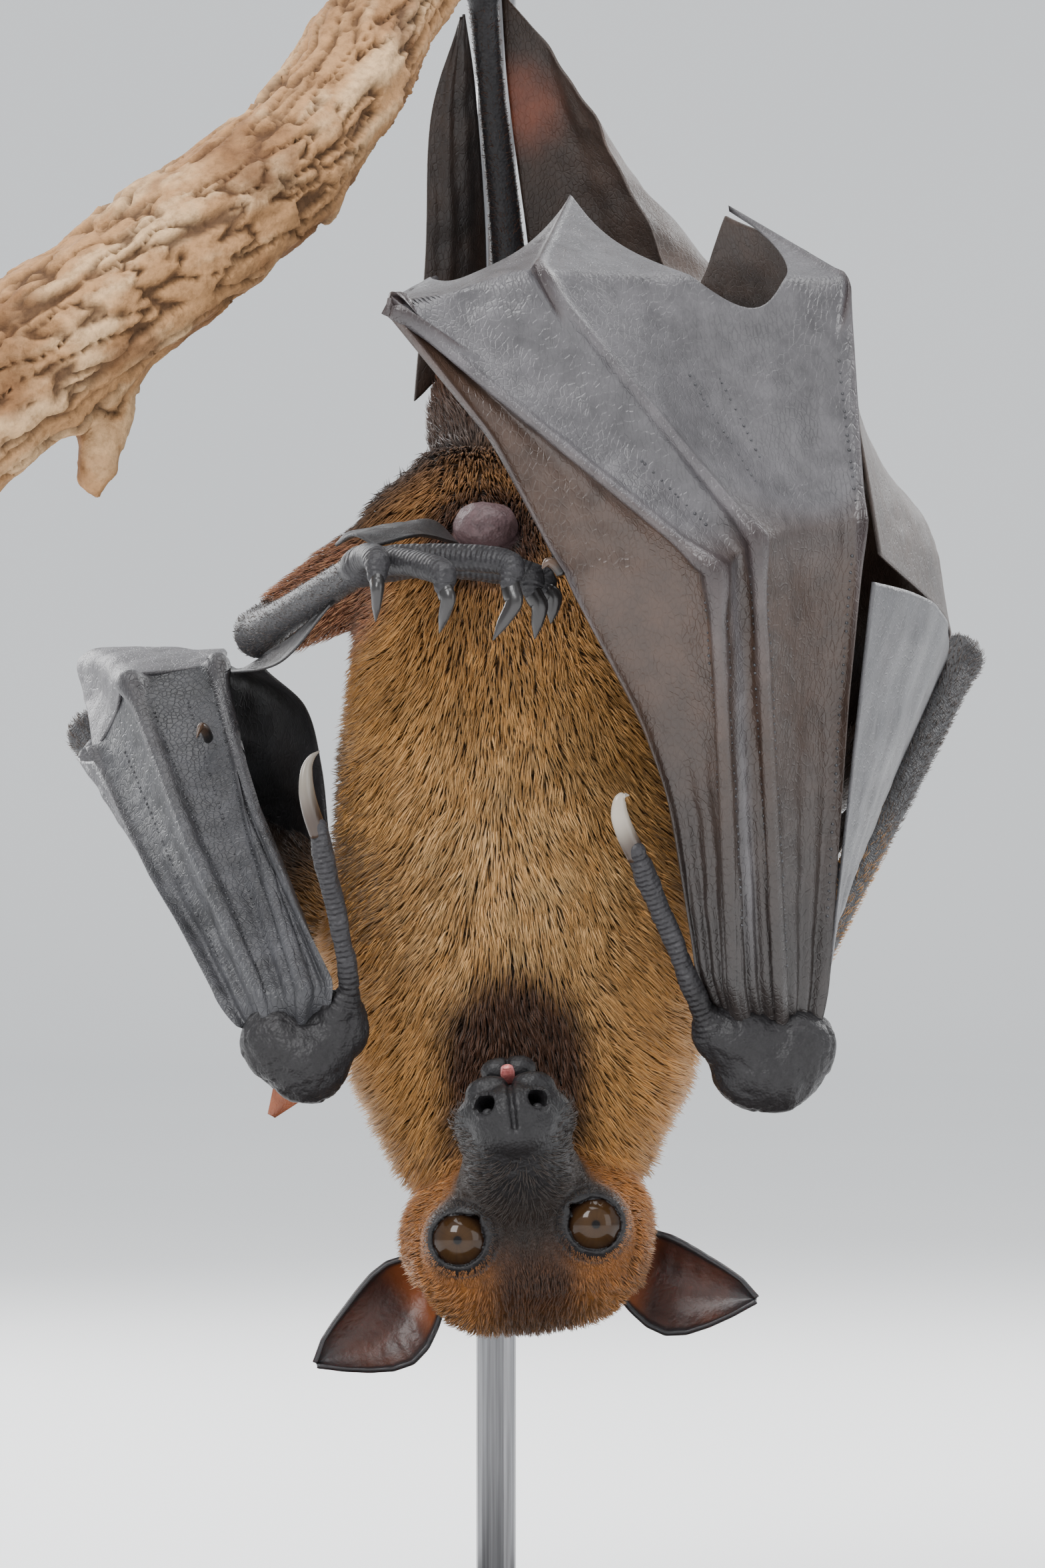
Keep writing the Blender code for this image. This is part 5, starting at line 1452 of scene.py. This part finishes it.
def make_left_hand_wing(material):
    mcp = MCP["left"]
    start = [s + normalised(s - m) * 5.0 for s, m in zip(HAND_START["left"], mcp)]
    paths = [[start[0], vec(-58, -14, 190), mcp[0]]]
    for f in (1, 2, 3):
        paths.append([start[f], (start[f] + mcp[f]) / 2 + vec(-1.5, -2.5, 0), mcp[f]])
    bones = [(1.4, 0.1, 0.5, (2.0,)), (2.0, 0.1, 1.3, (1.97,)), (2.0, 0.1, 1.5, (1.97,)),
             (1.9, 0.1, 1.2, (1.97,))]
    grid, half, marks, gaps, places = wing_fan(paths, 2, 160, (28, 38, 38), ((0, 1, 0), (1, 2, 0), (1, 3, 0)),
                                               ((0, 1), (0.0, 1), (0.0, 1)), bones)
    pleat = np.sin(places * 17 + gaps * 2.0) * smoothstep(-marks, -1.7, -0.2) * 0.42 * 4 * places * (1 - places)
    grid = grid + grid_normals(grid) * pleat[..., None]
    free = np.minimum(1, 9 * places * (1 - places))
    grid = sunk_in_wrist(crumple(grid, 7.0, 0.35, 111, free), marks, "left")
    p = grid.reshape(-1, 3)
    cloudy = (0.5 + 0.5 * layered_noise(p, 5, 15)).clip(0, 1)
    tint = mixed(np.tile(WING_SLATE * 0.8, (len(p), 1)), WING_SLATE * 1.7, cloudy)
    bone = smoothstep(half.ravel(), 0.55, 1.3)
    tint = mixed(tint, BONE_PALE * 0.8, bone * 0.5 * smoothstep(marks.ravel(), 0.8, 2.0))
    rng = np.random.default_rng(12)
    lines = [(0, 0.5, 0.3, 1.8), (1, 0.12, 0.1, 1.8), (1, 0.5, 0.3, 1.8), (1, 0.86, 0.1, 1.8),
             (2, 0.12, 0.1, 1.8),
             (2, 0.6, 0.3, 1.8)]
    dots = dotted_lines(grid, half, marks, gaps, places, lines, 2.0, rng)
    wing_piece("hand_wing_skin_left", grid, half, tint, material, "wing_skin", ("hand_wing_left",), dots)
    t = np.linspace(0, 1, 40)[:, None, None]
    near = smooth_path([vec(-95, 44.5, 201.5), vec(-90, 38.5, 210), vec(-87, 27.6, 218),
                        vec(-76.3, 30.8, 219.8), vec(-67.5, 30.5, 221)], 70)
    far = smooth_path([vec(-98, 66, 214), vec(-97.5, 78, 224.5), vec(-66, 58, 224)], 70)
    fold = near[None] * (1 - t) + far[None] * t + vec(0, 0, 2.0) * np.sin(math.pi * t)
    fold = crumple(fold, 8.0, 0.5, 121)
    # pale grey from WING_PALE: partly the fold's own grey, partly painted sheen
    pale = np.tile(WING_PALE * 1.1, (fold.shape[0] * fold.shape[1], 1))
    wing_piece("wing_fold_skin_left", fold, 0.42, pale, material, "wing_skin", ("wing_fold_left",))
    t = np.linspace(0, 1, 70)[:, None]
    left = vec(-86, 36, 214) * (1 - t) + vec(-66, 24, 160) * t
    right = vec(-69, 38, 219) * (1 - t) + vec(-52, 8, 157) * t
    s = np.linspace(0, 1, 40)[None, :, None]
    tips = left[:, None] * (1 - s) + right[:, None] * s + vec(0, 2.5, 0) * np.sin(math.pi * s)
    tips = crumple(tips, 7.0, 0.6, 131)
    dark = np.tile(WING_DARK, (tips.shape[0] * tips.shape[1], 1))
    wing_piece("wing_tip_skin_left", tips, 0.6, dark, material, "wing_skin", ("wing_tip_left",))


def between(first, second, rows, cols, bow):
    """Grid ruled from one curve to another, bowed by bow(t along, s across)."""
    a, b = smooth_path(first, rows)[:, None], smooth_path(second, rows)[:, None]
    t, s = np.linspace(0, 1, rows)[:, None, None], np.linspace(0, 1, cols)[None, :, None]
    return a * (1 - s) + b * s + bow(t, s)


def coons(top, low, left, right, rows, cols):
    """Surface filling four border curves that share their corners."""
    top, low = smooth_path(top, cols)[None], smooth_path(low, cols)[None]
    left, right = smooth_path(left, rows)[:, None], smooth_path(right, rows)[:, None]
    v, u = np.linspace(0, 1, rows)[:, None, None], np.linspace(0, 1, cols)[None, :, None]
    corner = (top[:, :1] * (1 - u) + top[:, -1:] * u) * (1 - v) + (low[:, :1] * (1 - u) + low[:, -1:] * u) * v
    return top * (1 - v) + low * v + left * (1 - u) + right * u - corner


def plain_tint(grid, colour, other, size, seed):
    p = grid.reshape(-1, 3)
    return mixed(np.tile(colour, (len(p), 1)), other, (0.5 + 0.5 * layered_noise(p, size, seed)).clip(0, 1))


def make_arm_membranes(material):
    for label, far_start, near_start, far_end, near_end, sag in (
            ("right", vec(60, -30, 152), vec(65, -43, 150), vec(95, 66, 223), vec(74.5, -52, 238),
             vec(6, 0, 3)),
            ("left", vec(-57, -24, 150), vec(-65.5, -32, 151), vec(-96, 74, 206), vec(-95, 49, 200),
             vec(-4, 0, -2))):
        t, s = np.linspace(0, 1, 84)[:, None, None], np.linspace(0, 1, 64)[None, :, None]
        near, far = near_start * (1 - t) + near_end * t, far_start * (1 - t) + far_end * t
        grid = near * (1 - s) + far * s + sag * np.sin(math.pi * s) * t
        pleats = 0.45 * np.sin(s * 26) * np.sin(math.pi * s) * (1 - 0.5 * t)
        grid = crumple(grid + grid_normals(grid) * pleats, 12.0, 0.5, 141)
        # pale grey from WING_PALE, partly the membrane's own grey and partly painted sheen, clouded with slate
        tint = plain_tint(grid, WING_PALE * 0.95, WING_SLATE * 1.6, 14, 25)
        wing_piece("arm_membrane_skin_" + label, grid, MEMBRANE, tint, material, "wing_skin",
                   ("arm_membrane_" + label,))


def make_flank_membranes(material):
    top = [vec(-4.6, 45, 371), vec(8, 40, 355), vec(20, 33, 334), vec(33, 20, 306), vec(38, 2, 303),
           vec(44, -12, 318)]
    low = [vec(36, 22, 172), vec(66, 47, 198), vec(90, 72, 222), vec(94, 30, 230), vec(76, -47, 244)]
    left = [top[0], vec(-3.2, 51, 350), vec(0.4, 59, 322), vec(4.2, 65, 297), vec(14, 50, 268),
            vec(36, 30, 235), low[0]]
    right = [top[-1], vec(66, -42, 304), vec(71, -46, 275), low[-1]]
    grid = coons(top, low, left, right, 150, 96)
    v, u = np.linspace(0, 1, 150)[:, None, None], np.linspace(0, 1, 96)[None, :, None]
    grid = grid + vec(0, 3.0, 0) * np.sin(math.pi * v) * np.sin(2.4 * math.pi * u * 12 / 11)
    folds = (np.sin(u * 34 + 2.2 * v) + 0.5 * np.sin(u * 71 - 3 * v)) * np.sin(math.pi * u)
    folds = folds * smoothstep(-v, -0.6, -0.05)
    grid = crumple(grid + grid_normals(grid) * folds * 0.55, 14.0, 0.7, 151)
    tint = plain_tint(grid, WING_BROWN * 0.62, WING_BROWN * 0.36, 12, 35)
    # painted glow: a red-orange spot by the right shin where light shining through the thin membrane is coloured
    # in
    glow = np.linalg.norm(grid.reshape(-1, 3) - vec(-2, 49, 345), axis=1)
    tint = mixed(tint, vec(0.20, 0.055, 0.028), smoothstep(-glow, -15, -3) * 0.7)
    wing_piece("flank_skin_right", grid, MEMBRANE, tint, material, "flank_skin", ("flank_membrane_right",))
    inner = [vec(-38, -52, 236.5), vec(-49, -20, 227.5), vec(-57, 8, 221.5), vec(-48, 24, 212),
             vec(-44.5, 29, 199),
             vec(-43, 29, 185), vec(-42, 27, 175)]
    outer = [vec(-41, -49, 233), vec(-52, -20, 221.5), vec(-63, 8, 219.5), vec(-67, 52, 221), vec(-90, 71, 215),
             vec(-66, 55, 193), vec(-46, 32, 177)]
    grid = between(inner, outer, 110, 44, lambda t, s: vec(0, 2.5, 0) * np.sin(math.pi * s))
    grid = crumple(grid, 8.0, 0.5, 161)
    # near-black slate: partly the membrane's own dark colour, partly painted shade of the pocket inside the
    # folded left wing
    tint = plain_tint(grid, WING_SLATE * 0.9, WING_DARK, 9, 45)
    wing_piece("flank_skin_left", grid, MEMBRANE, tint, material, "flank_skin", ("flank_membrane_left",))


def make_front_membranes(material):
    for label, s_dir in SIDES.items():
        shoulder, elbow, wrist = SHOULDER[label], ELBOW[label], WRIST[label]
        arm, fore = normalised(elbow - shoulder), normalised(elbow - wrist)
        to_wrist = normalised((wrist - shoulder) - arm * (arm @ (wrist - shoulder)))
        to_shoulder = normalised((shoulder - wrist) - fore * (fore @ (shoulder - wrist)))
        t = np.linspace(0.16, 0.88, 60)[:, None, None]
        s = np.linspace(0, 1, 50)[None, :, None]
        a = shoulder * (1 - t) + elbow * t + to_wrist * (16.6 - 8.5 * t)
        b = wrist * (1 - t) + elbow * t + to_shoulder * 6.9
        grid = a * (1 - s) + b * s + vec(s_dir, 0, -4) * np.sin(math.pi * s) * (1 - t)
        grid = crumple(grid + grid_normals(grid) * 0.4 * np.sin(s * 22) * np.sin(math.pi * s), 10.0, 0.4, 171)
        tint = plain_tint(grid, WING_BROWN * 0.5, WING_DARK, 10, 55)
        wing_piece("front_membrane_skin_" + label, grid, MEMBRANE, tint, material, "flank_skin",
                   ("front_membrane_" + label,))
    corners = ((vec(-57, -34, 141), vec(-50, -33, 137)), (vec(-53, -30, 133), vec(-47, -28, 128)),
               (vec(-53.5, -28, 130), vec(-48.5, -27, 126.5)),
               (vec(-54.6, -27, 124), vec(-53.4, -27, 123.4)))
    grid = between([c[0] for c in corners], [c[1] for c in corners], 40, 30,
                   lambda t, s: vec(0, -0.8, 0) * np.sin(math.pi * s))
    tint = plain_tint(grid, vec(0.30, 0.085, 0.030), vec(0.16, 0.045, 0.02), 4, 65)
    wing_piece("wrist_fold_skin_left", grid, 0.3, tint, material, "flank_skin", ("wrist_fold_left",))


def make_tail_membranes(material):
    inner = smooth_path([vec(-13, 45, 366), vec(-10.7, 51, 350), vec(-8.6, 59, 322), vec(-8, 64, 296)], 120)
    outer = smooth_path([vec(-14, 44, 364), vec(-20.4, 46, 343), vec(-21.6, 47, 312), vec(-24, 44, 280)], 120)
    s = np.linspace(0, 1, 40)[None, :, None]
    grid = inner[:, None] * (1 - s) + outer[:, None] * s - vec(0, 1.5, 0) * np.sin(math.pi * s)
    grid = crumple(grid + grid_normals(grid) * 0.35 * np.sin(s * 18) * np.sin(math.pi * s), 9.0, 0.5, 181)
    tint = plain_tint(grid, WING_BROWN * 0.55, WING_DARK, 9, 75)
    wing_piece("tail_skin_right", grid, MEMBRANE, tint, material, "flank_skin", ("tail_membrane_right",))
    lines = [smooth_path(line, 60) for line in ([vec(-40, -40, 246), vec(-37, -30, 249), vec(-30, -16, 250)],
                                                [vec(-36, -52, 248), vec(-28, -36, 250), vec(-20, -14, 252)],
                                                [vec(-31, -58, 245.5), vec(-22, -44, 248), vec(-14, -12, 247)])]
    grid = np.stack([smooth_path([line[k] for line in lines], 40) for k in range(60)], 1)
    grid = crumple(grid, 6.0, 0.4, 191)
    tint = plain_tint(grid, WING_SLATE * 0.6, WING_DARK, 6, 85)
    wing_piece("tail_skin_left", grid, 0.35, tint, material, "black_skin", ("tail_membrane_left",))


class BAT_OT_wings(Operator):
    """Hand wings over ridged finger bones, and the membranes of arms, flanks and legs"""
    bl_idname = "bat.wings"
    bl_label = "Wings"

    def execute(self, context):
        hand = wing_material("wing_leather", 0.36)
        slate = wing_material("wing_leather_dark", 0.46, 0.8)
        flank = wing_material("flank_leather", 0.50)
        make_right_hand_wing(hand)
        make_left_hand_wing(slate)
        make_arm_membranes(hand)
        make_flank_membranes(flank)
        make_front_membranes(flank)
        make_tail_membranes(flank)
        return {"FINISHED"}


# ---------------------------------------------------------------- claws
def claw_material():
    mat, tree, bsdf = shader("claw_horn", 0.28, specular=0.45, coat=0.1)
    bsdf.inputs["Coat Roughness"].default_value = 0.2
    tree.links.new(attribute(tree, "tint"), bsdf.inputs["Base Color"])
    grain = texture(tree, "ShaderNodeTexNoise", 1500, (1, 1, 0.3), Detail=3.0)
    bump(tree, bsdf, grain.outputs[0], 0.25, 0.0003)
    return mat


HORN_BLACK = vec(0.010, 0.009, 0.009)
HORN_BROWN = vec(0.060, 0.035, 0.022)
HORN_PALE = vec(0.33, 0.29, 0.24)


def make_claw(name, points, radii, material, node, root_colour, tip_colour, flat):
    """A curved horn, deeper than it is wide, running out to a point."""
    bend = normalised(np.cross(points[1] - points[0], points[-1] - points[0]) + vec(1e-4, 0, 0))
    verts, faces = tube(points, radii, 30, 16, flat=flat, side_dir=np.cross(bend, points[-1] - points[0]))
    reach = np.linalg.norm(verts - points[0], axis=1) / np.linalg.norm(points[-1] - points[0])
    tint = mixed(np.tile(root_colour, (len(verts), 1)), tip_colour, smoothstep(reach, 0.2, 0.8))
    settle(new_piece(name, verts, faces, material, tint), "claw_horn", node)


class BAT_OT_claws(Operator):
    """Toe, thumb and finger claws of smooth horn"""
    bl_idname = "bat.claws"
    bl_label = "Claws"

    def execute(self, context):
        material = claw_material()
        for k, (knuckle, bend, tip) in enumerate(FREE_TOES):
            reach = bend - knuckle
            points = [knuckle + reach * 0.1, knuckle + reach * 0.7, bend, bend * 0.45 + tip * 0.55, tip]
            make_claw(f"toe_horn_left_{k + 1}", points, [1.9, 2.25, 2.0, 1.35, 0.15], material,
                      f"toe_claw_left_{k + 1}", HORN_BLACK, HORN_BLACK * 2.2, 0.72)
            along = -9.5 + 4.8 * k
            turns = ((132, 17.0), (144, 17.5), (156, 17.3), (170, 16.2), (184, 14.9))
            points = [grip_point(along, angle, reach) for angle, reach in turns]
            make_claw(f"toe_horn_right_{k + 1}", points, [1.5, 1.6, 1.4, 0.95, 0.15], material,
                      f"toe_claw_right_{k + 1}", HORN_BLACK, HORN_BROWN, 0.72)
        for label in SIDES:
            points = list(smooth_path(THUMB_CLAW[label], 6))
            make_claw("thumb_horn_" + label, points, [2.3, 2.2, 2.0, 1.45, 0.8, 0.12], material,
                      "thumb_claw_" + label, HORN_BROWN * 0.6,
                      HORN_PALE if label == "right" else HORN_PALE * 0.55, 0.66)
        root = MCP["right"][0]
        bends = (vec(-0.2, 0, 0.4), vec(-1.6, -0.2, 2.0), vec(-3.2, -0.5, 2.5), vec(-4.4, -1, 1.2))
        make_claw("finger_horn_right", [root + bend for bend in bends], [1.4, 1.3, 1.0, 0.12], material,
                  "finger_claw_right", HORN_BLACK, HORN_BROWN, 0.8)
        points = [vec(-68.6, 8, 205.0), vec(-69.3, 4.6, 206.8), vec(-70.2, 2.2, 207.3), vec(-71, 0.7, 205.0)]
        make_claw("finger_horn_left", points, [1.3, 1.2, 1.0, 0.12], material, "finger_claw_left",
                  HORN_BLACK, HORN_BROWN, 0.8)
        return {"FINISHED"}


# ---------------------------------------------------------------- perch and stand
BRANCH_AXIS = (vec(-131, -49, 263), vec(-103, -44, 287), vec(-79, -36, 306), vec(-55, -22, 325),
               vec(-39, -1, 346),
               vec(-29, 16, 366), vec(-14, 27, 383), vec(3, 38, 393), vec(10, 57, 399), vec(5, 82, 403),
               vec(-7, 106, 405), vec(-12, 114, 405))
BRANCH_RADII = (18.0, 17.8, 17.2, 16.0, 14.0, 13.0, 12.4, 12.0, 11.6, 11.2, 10.8, 10.6)
SNAG = (vec(-88, -36, 290), vec(-89, -37, 272), vec(-92, -39, 262), vec(-91, -41, 256.5))
SAWN_ENDS = ((vec(-128, -48, 265), vec(0.75, 0.1, 0.66)), (vec(-9.5, 110, 405), vec(0.5, -0.86, 0)))
KNOTS = ((vec(-58, -37, 325), vec(7.5, 5, 6.5)), (vec(-110, -60, 285), vec(7, 5, 5.5)),
         (vec(-33, 4, 372), vec(5, 5, 5)))


def branch_field(p):
    path = smooth_path(BRANCH_AXIS, 40)
    wood = limb(p, path, spread(BRANCH_RADII, 40))
    wood = blend(wood, limb(p, smooth_path(SNAG, 8), spread([8.6, 6.0, 4.6, 1.4], 8)), 3.0)
    for centre, radii in KNOTS:
        wood = blend(wood, ellipsoid(p, centre, radii), 2.0)
    for point, inward in SAWN_ENDS:
        wood = np.maximum(wood, (point - p) @ normalised(inward))
    return wood


def branch_place(p):
    """Length along the branch and direction round it."""
    path = smooth_path(BRANCH_AXIS, 40)
    best = np.full(len(p), 1e3)
    along = np.zeros(len(p))
    spoke = np.zeros((len(p), 3))
    length = 0.0
    for a, b in zip(path[:-1], path[1:]):
        ab = b - a
        t = np.clip((p - a) @ ab / (ab @ ab), 0.0, 1.0)
        gap = p - a - t[:, None] * ab
        size = np.linalg.norm(gap, axis=1)
        closer = size < best
        along[closer] = length + t[closer] * np.linalg.norm(ab)
        spoke[closer] = gap[closer] / np.maximum(size[closer], 1e-6)[:, None]
        best = np.minimum(best, size)
        length += np.linalg.norm(ab)
    return along, spoke, best


def surface_of(field, low, high, step):
    """Quads round a distance field, worked out only near the surface."""
    counts = np.ceil((high - low) / (COARSE * step)).astype(int) + 1
    axes = [low[k] + np.arange(counts[k]) * COARSE * step + (COARSE - 1) * step / 2 for k in range(3)]
    centres = np.stack(np.meshgrid(*axes, indexing="ij"), -1).reshape(-1, 3)
    blocks = field(centres).reshape(counts)
    for axis in range(3):
        blocks = np.repeat(blocks, COARSE, axis)
    values = np.clip(blocks, -6, 6).astype(np.float32)
    close = np.abs(blocks) < COARSE * step * 1.5
    values[close] = np.clip(field(low + np.argwhere(close) * step), -6, 6)
    grid = openvdb.FloatGrid(6.0)
    grid.copyFromArray(values)
    points, quads = grid.convertToQuads(0.0)
    return low + np.asarray(points, float) * step, np.asarray(quads, np.int64)[:, ::-1]


def bark_material():
    mat, tree, bsdf = shader("dry_bark", 0.85, specular=0.25)
    grain = texture(tree, "ShaderNodeTexNoise", 420, Detail=6.0, Roughness=0.7)
    stops = ((0.28, (0.60, 0.56, 0.52)), (0.5, (1.0, 1.0, 1.0)), (0.75, (1.35, 1.32, 1.28)))
    tone = ramp(tree, grain.outputs[0], stops)
    tree.links.new(mix_colour(tree, 1.0, attribute(tree, "tint"), tone, "MULTIPLY"), bsdf.inputs["Base Color"])
    bump(tree, bsdf, grain.outputs[0], 0.6, 0.0012)
    grit = texture(tree, "ShaderNodeTexVoronoi", 900, feature="SMOOTH_F1")
    bump(tree, bsdf, grit.outputs["Distance"], 0.4, 0.0006)
    return mat


BARK_TAN = vec(0.350, 0.190, 0.085)
BARK_PALE = vec(0.520, 0.340, 0.185)
BARK_BROWN = vec(0.150, 0.065, 0.026)
BARK_DARK = vec(0.060, 0.030, 0.015)


class BAT_OT_perch(Operator):
    """Cut length of branch with flaking bark, crevices, knots and a broken snag"""
    bl_idname = "bat.perch"
    bl_label = "Perch"

    def execute(self, context):
        low, high = vec(-152, -78, 238), vec(34, 134, 424)
        p, quads = surface_of(branch_field, low, high, 1.05)
        step = 0.2
        here = branch_field(p)
        slope = np.stack([(branch_field(p + np.eye(3)[k] * step) - here) / step for k in range(3)], 1)
        normal = normalised(slope)
        p = p - normal * here[:, None]
        along, spoke, reach = branch_place(p)
        # bark runs in long broken plates: noise is stretched along the branch
        rolled = np.column_stack([spoke * 17.0, along * 0.30])
        q = np.column_stack([rolled[:, 0] + rolled[:, 3] * 0.3, rolled[:, 1], rolled[:, 2] + rolled[:, 3]])
        plates = layered_noise(q, 5.0, 201)
        fissure = 1.0 - np.abs(layered_noise(q + 31.0, 3.6, 205, 2)) * 2.2
        fissure = smoothstep(fissure, 0.35, 0.95)
        lumps = layered_noise(p, 15.0, 209)
        flake = np.floor(layered_noise(q, 7.0, 213) * 3.0) / 3.0
        collar = bell(along - 33.0 - 2.5 * noise(spoke * 9, 4.0, 217), 2.6)
        sawn = np.zeros(len(p))
        for point, inward in SAWN_ENDS:
            sawn = np.maximum(sawn, smoothstep(-np.abs((p - point) @ normalised(inward)), -1.4, -0.5))
        push = 0.55 * plates + 1.3 * lumps + 0.7 * flake - 1.8 * fissure + 1.5 * collar - 0.6
        knotty = sum(bell(np.linalg.norm(p - centre, axis=1), 8.0) for centre, _ in KNOTS)
        push = push + knotty * 0.8 * np.sin(np.linalg.norm(p - KNOTS[0][0], axis=1) * 1.6)
        p = p + normal * (push * (1 - sawn))[:, None]
        tint = mixed(np.tile(BARK_TAN, (len(p), 1)), BARK_PALE, smoothstep(plates + flake, -0.2, 1.0))
        tint = mixed(tint, BARK_BROWN, smoothstep(layered_noise(p, 12.0, 221), 0.1, 0.8) * 0.7)
        tint = mixed(tint, BARK_DARK, fissure * 0.9)
        tint = mixed(tint, BARK_BROWN * 0.7, (knotty * 0.8).clip(0, 1))
        rings = 0.5 + 0.5 * np.sin(reach * 3.4 + noise(p, 6.0, 225))
        tint = mixed(tint, mixed(np.tile(BARK_PALE, (len(p), 1)), BARK_TAN, rings * 0.6), sawn)
        settle(new_piece("perch_bark", p, [quads], bark_material(), tint), "bark", "perch_branch")
        return {"FINISHED"}


class BAT_OT_stand(Operator):
    """Plain display stand: lacquered base and a dark steel rod, in the solids' own shapes"""
    bl_idname = "bat.stand"
    bl_label = "Stand"

    def execute(self, context):
        base, tree, bsdf = shader("base_lacquer", 0.34, specular=0.5, coat=0.3)
        bsdf.inputs["Coat Roughness"].default_value = 0.15
        grain = texture(tree, "ShaderNodeTexNoise", 45, (0.12, 1, 1), Detail=6.0, Distortion=0.6)
        colour = ramp(tree, grain.outputs[0], ((0.3, (0.030, 0.022, 0.018)), (0.7, (0.060, 0.042, 0.032))))
        tree.links.new(colour, bsdf.inputs["Base Color"])
        bump(tree, bsdf, grain.outputs[0], 0.08, 0.0005)
        rod, tree, bsdf = shader("rod_steel", 0.32)
        bsdf.inputs["Metallic"].default_value = 1.0
        brushed = texture(tree, "ShaderNodeTexNoise", 1600, (1, 1, 0.02), Detail=2.0)
        colour = ramp(tree, brushed.outputs[0], ((0.3, (0.16, 0.16, 0.165)), (0.7, (0.26, 0.26, 0.27))))
        tree.links.new(colour, bsdf.inputs["Base Color"])
        bump(tree, bsdf, brushed.outputs[0], 0.1, 0.0002)
        for node, material in (("stand_base", base), ("stand_rod", rod)):
            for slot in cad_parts[node].material_slots:
                slot.material = material
        return {"FINISHED"}


# ---------------------------------------------------------------- studio
LAMPS = (                              # name, place in metres, width and height, power in watts
    ("window", (-0.7, -1.35, 1.25), (0.7, 0.9), 34),
    ("skylight", (0.15, -0.2, 1.7), (1.3, 1.1), 26),
    ("side_fill", (1.5, -0.9, 0.5), (0.9, 1.2), 9),
    ("rim", (-0.8, 1.15, 0.75), (0.8, 0.8), 16),
    ("rim_right", (0.9, 1.1, 0.9), (0.7, 0.8), 12),
)


class BAT_OT_studio(Operator):
    """Pale floor and backdrop, soft lights and the camera"""
    bl_idname = "bat.studio"
    bl_label = "Studio"

    def execute(self, context):
        scene = context.scene
        profile = [vec(0, -6.0, 0), vec(0, 5.0, 0)]
        sweep = np.linspace(0.08, math.pi / 2, 20)
        profile += [vec(0, 5.0 + 1.5 * math.sin(a), 1.5 - 1.5 * math.cos(a)) for a in sweep]
        profile.append(vec(0, 6.5, 5.0))
        profile = np.array(profile)
        across = np.linspace(-7.0, 7.0, 3)
        verts = np.concatenate([profile + vec(x, 0, 0) for x in across]) / MM
        rows = len(profile)
        quads = [[c * rows + r, (c + 1) * rows + r, (c + 1) * rows + r + 1, c * rows + r + 1]
                 for c in range(2) for r in range(rows - 1)]
        mat, tree, bsdf = shader("backdrop_paper", 0.9, specular=0.1)
        mottle = texture(tree, "ShaderNodeTexNoise", 1.2, Detail=2.0)
        colour = ramp(tree, mottle.outputs[0], ((0.3, (0.93, 0.935, 0.94)), (0.7, (0.96, 0.96, 0.96))))
        tree.links.new(colour, bsdf.inputs["Base Color"])
        new_piece("backdrop", verts, [np.array(quads)], mat)
        world = bpy.data.worlds.new("soft_day")
        world.use_nodes = True
        world.node_tree.nodes["Background"].inputs[0].default_value = (0.94, 0.97, 1.0, 1.0)
        world.node_tree.nodes["Background"].inputs[1].default_value = scene.bat.ambient
        scene.world = world
        aim = Vector((0, 0, 0.2))
        for name, place, size, power in LAMPS:
            lamp = bpy.data.lights.new(name, "AREA")
            lamp.shape = "RECTANGLE"
            lamp.size, lamp.size_y = size
            lamp.energy = power * scene.bat.light
            obj = bpy.data.objects.new(name, lamp)
            obj.location = place
            obj.rotation_euler = (aim - Vector(place)).to_track_quat("-Z", "Y").to_euler()
            scene.collection.objects.link(obj)
        camera = bpy.data.cameras.new("camera")
        camera.sensor_width = 36.0
        camera.lens = scene.bat.lens
        camera.clip_start = 0.05
        camera.clip_end = 30.0
        obj = bpy.data.objects.new("camera", camera)
        obj.location = (0.0, -2.235, 0.195)
        obj.rotation_euler = (math.radians(90), 0, 0)
        scene.collection.objects.link(obj)
        scene.camera = obj
        return {"FINISHED"}


# ---------------------------------------------------------------- settings, panel and the run
class BatSettings(PropertyGroup):
    """What a user would change before dressing the model."""
    coat_density: FloatProperty(name="Coat density", description="Share of the full number of tufts",
                                default=1.0, min=0.05, max=1.0, subtype="FACTOR")
    coat_length: FloatProperty(name="Coat length", description="Length of the fur against the natural coat",
                               default=1.0, min=0.3, max=1.3, subtype="FACTOR")
    ambient: FloatProperty(name="Ambient", description="Strength of the even light all round",
                           default=0.95, min=0.0)
    light: FloatProperty(name="Lights", description="Strength of the studio lights", default=1.0, min=0.0)
    lens: FloatProperty(name="Lens", description="Focal length of the camera",
                        default=235.7, min=20.0, unit="CAMERA")


STEPS = (BAT_OT_skin, BAT_OT_coat, BAT_OT_eyes, BAT_OT_ears, BAT_OT_wings, BAT_OT_claws, BAT_OT_perch,
         BAT_OT_stand, BAT_OT_studio)


class BAT_PT_panel(Panel):
    """Lists the steps that dress the bat"""
    bl_label = "Hanging Fruit Bat"
    bl_idname = "BAT_PT_panel"
    bl_space_type = "VIEW_3D"
    bl_region_type = "UI"
    bl_category = "Bat"

    def draw(self, context):
        for name in ("coat_density", "coat_length", "ambient", "light", "lens"):
            self.layout.prop(context.scene.bat, name)
        for step in STEPS:
            self.layout.operator(step.bl_idname)


CLASSES = (BatSettings, *STEPS, BAT_PT_panel)


def register():
    for cls in CLASSES:
        bpy.utils.register_class(cls)
    bpy.types.Scene.bat = PointerProperty(type=BatSettings)


def unregister():
    del bpy.types.Scene.bat
    for cls in reversed(CLASSES):
        bpy.utils.unregister_class(cls)


def main():
    register()
    bpy.ops.bat.skin()
    bpy.ops.bat.coat()
    bpy.ops.bat.eyes()
    bpy.ops.bat.ears()
    bpy.ops.bat.wings()
    bpy.ops.bat.claws()
    bpy.ops.bat.perch()
    bpy.ops.bat.stand()
    bpy.ops.bat.studio()


if __name__ == "__main__":
    main()
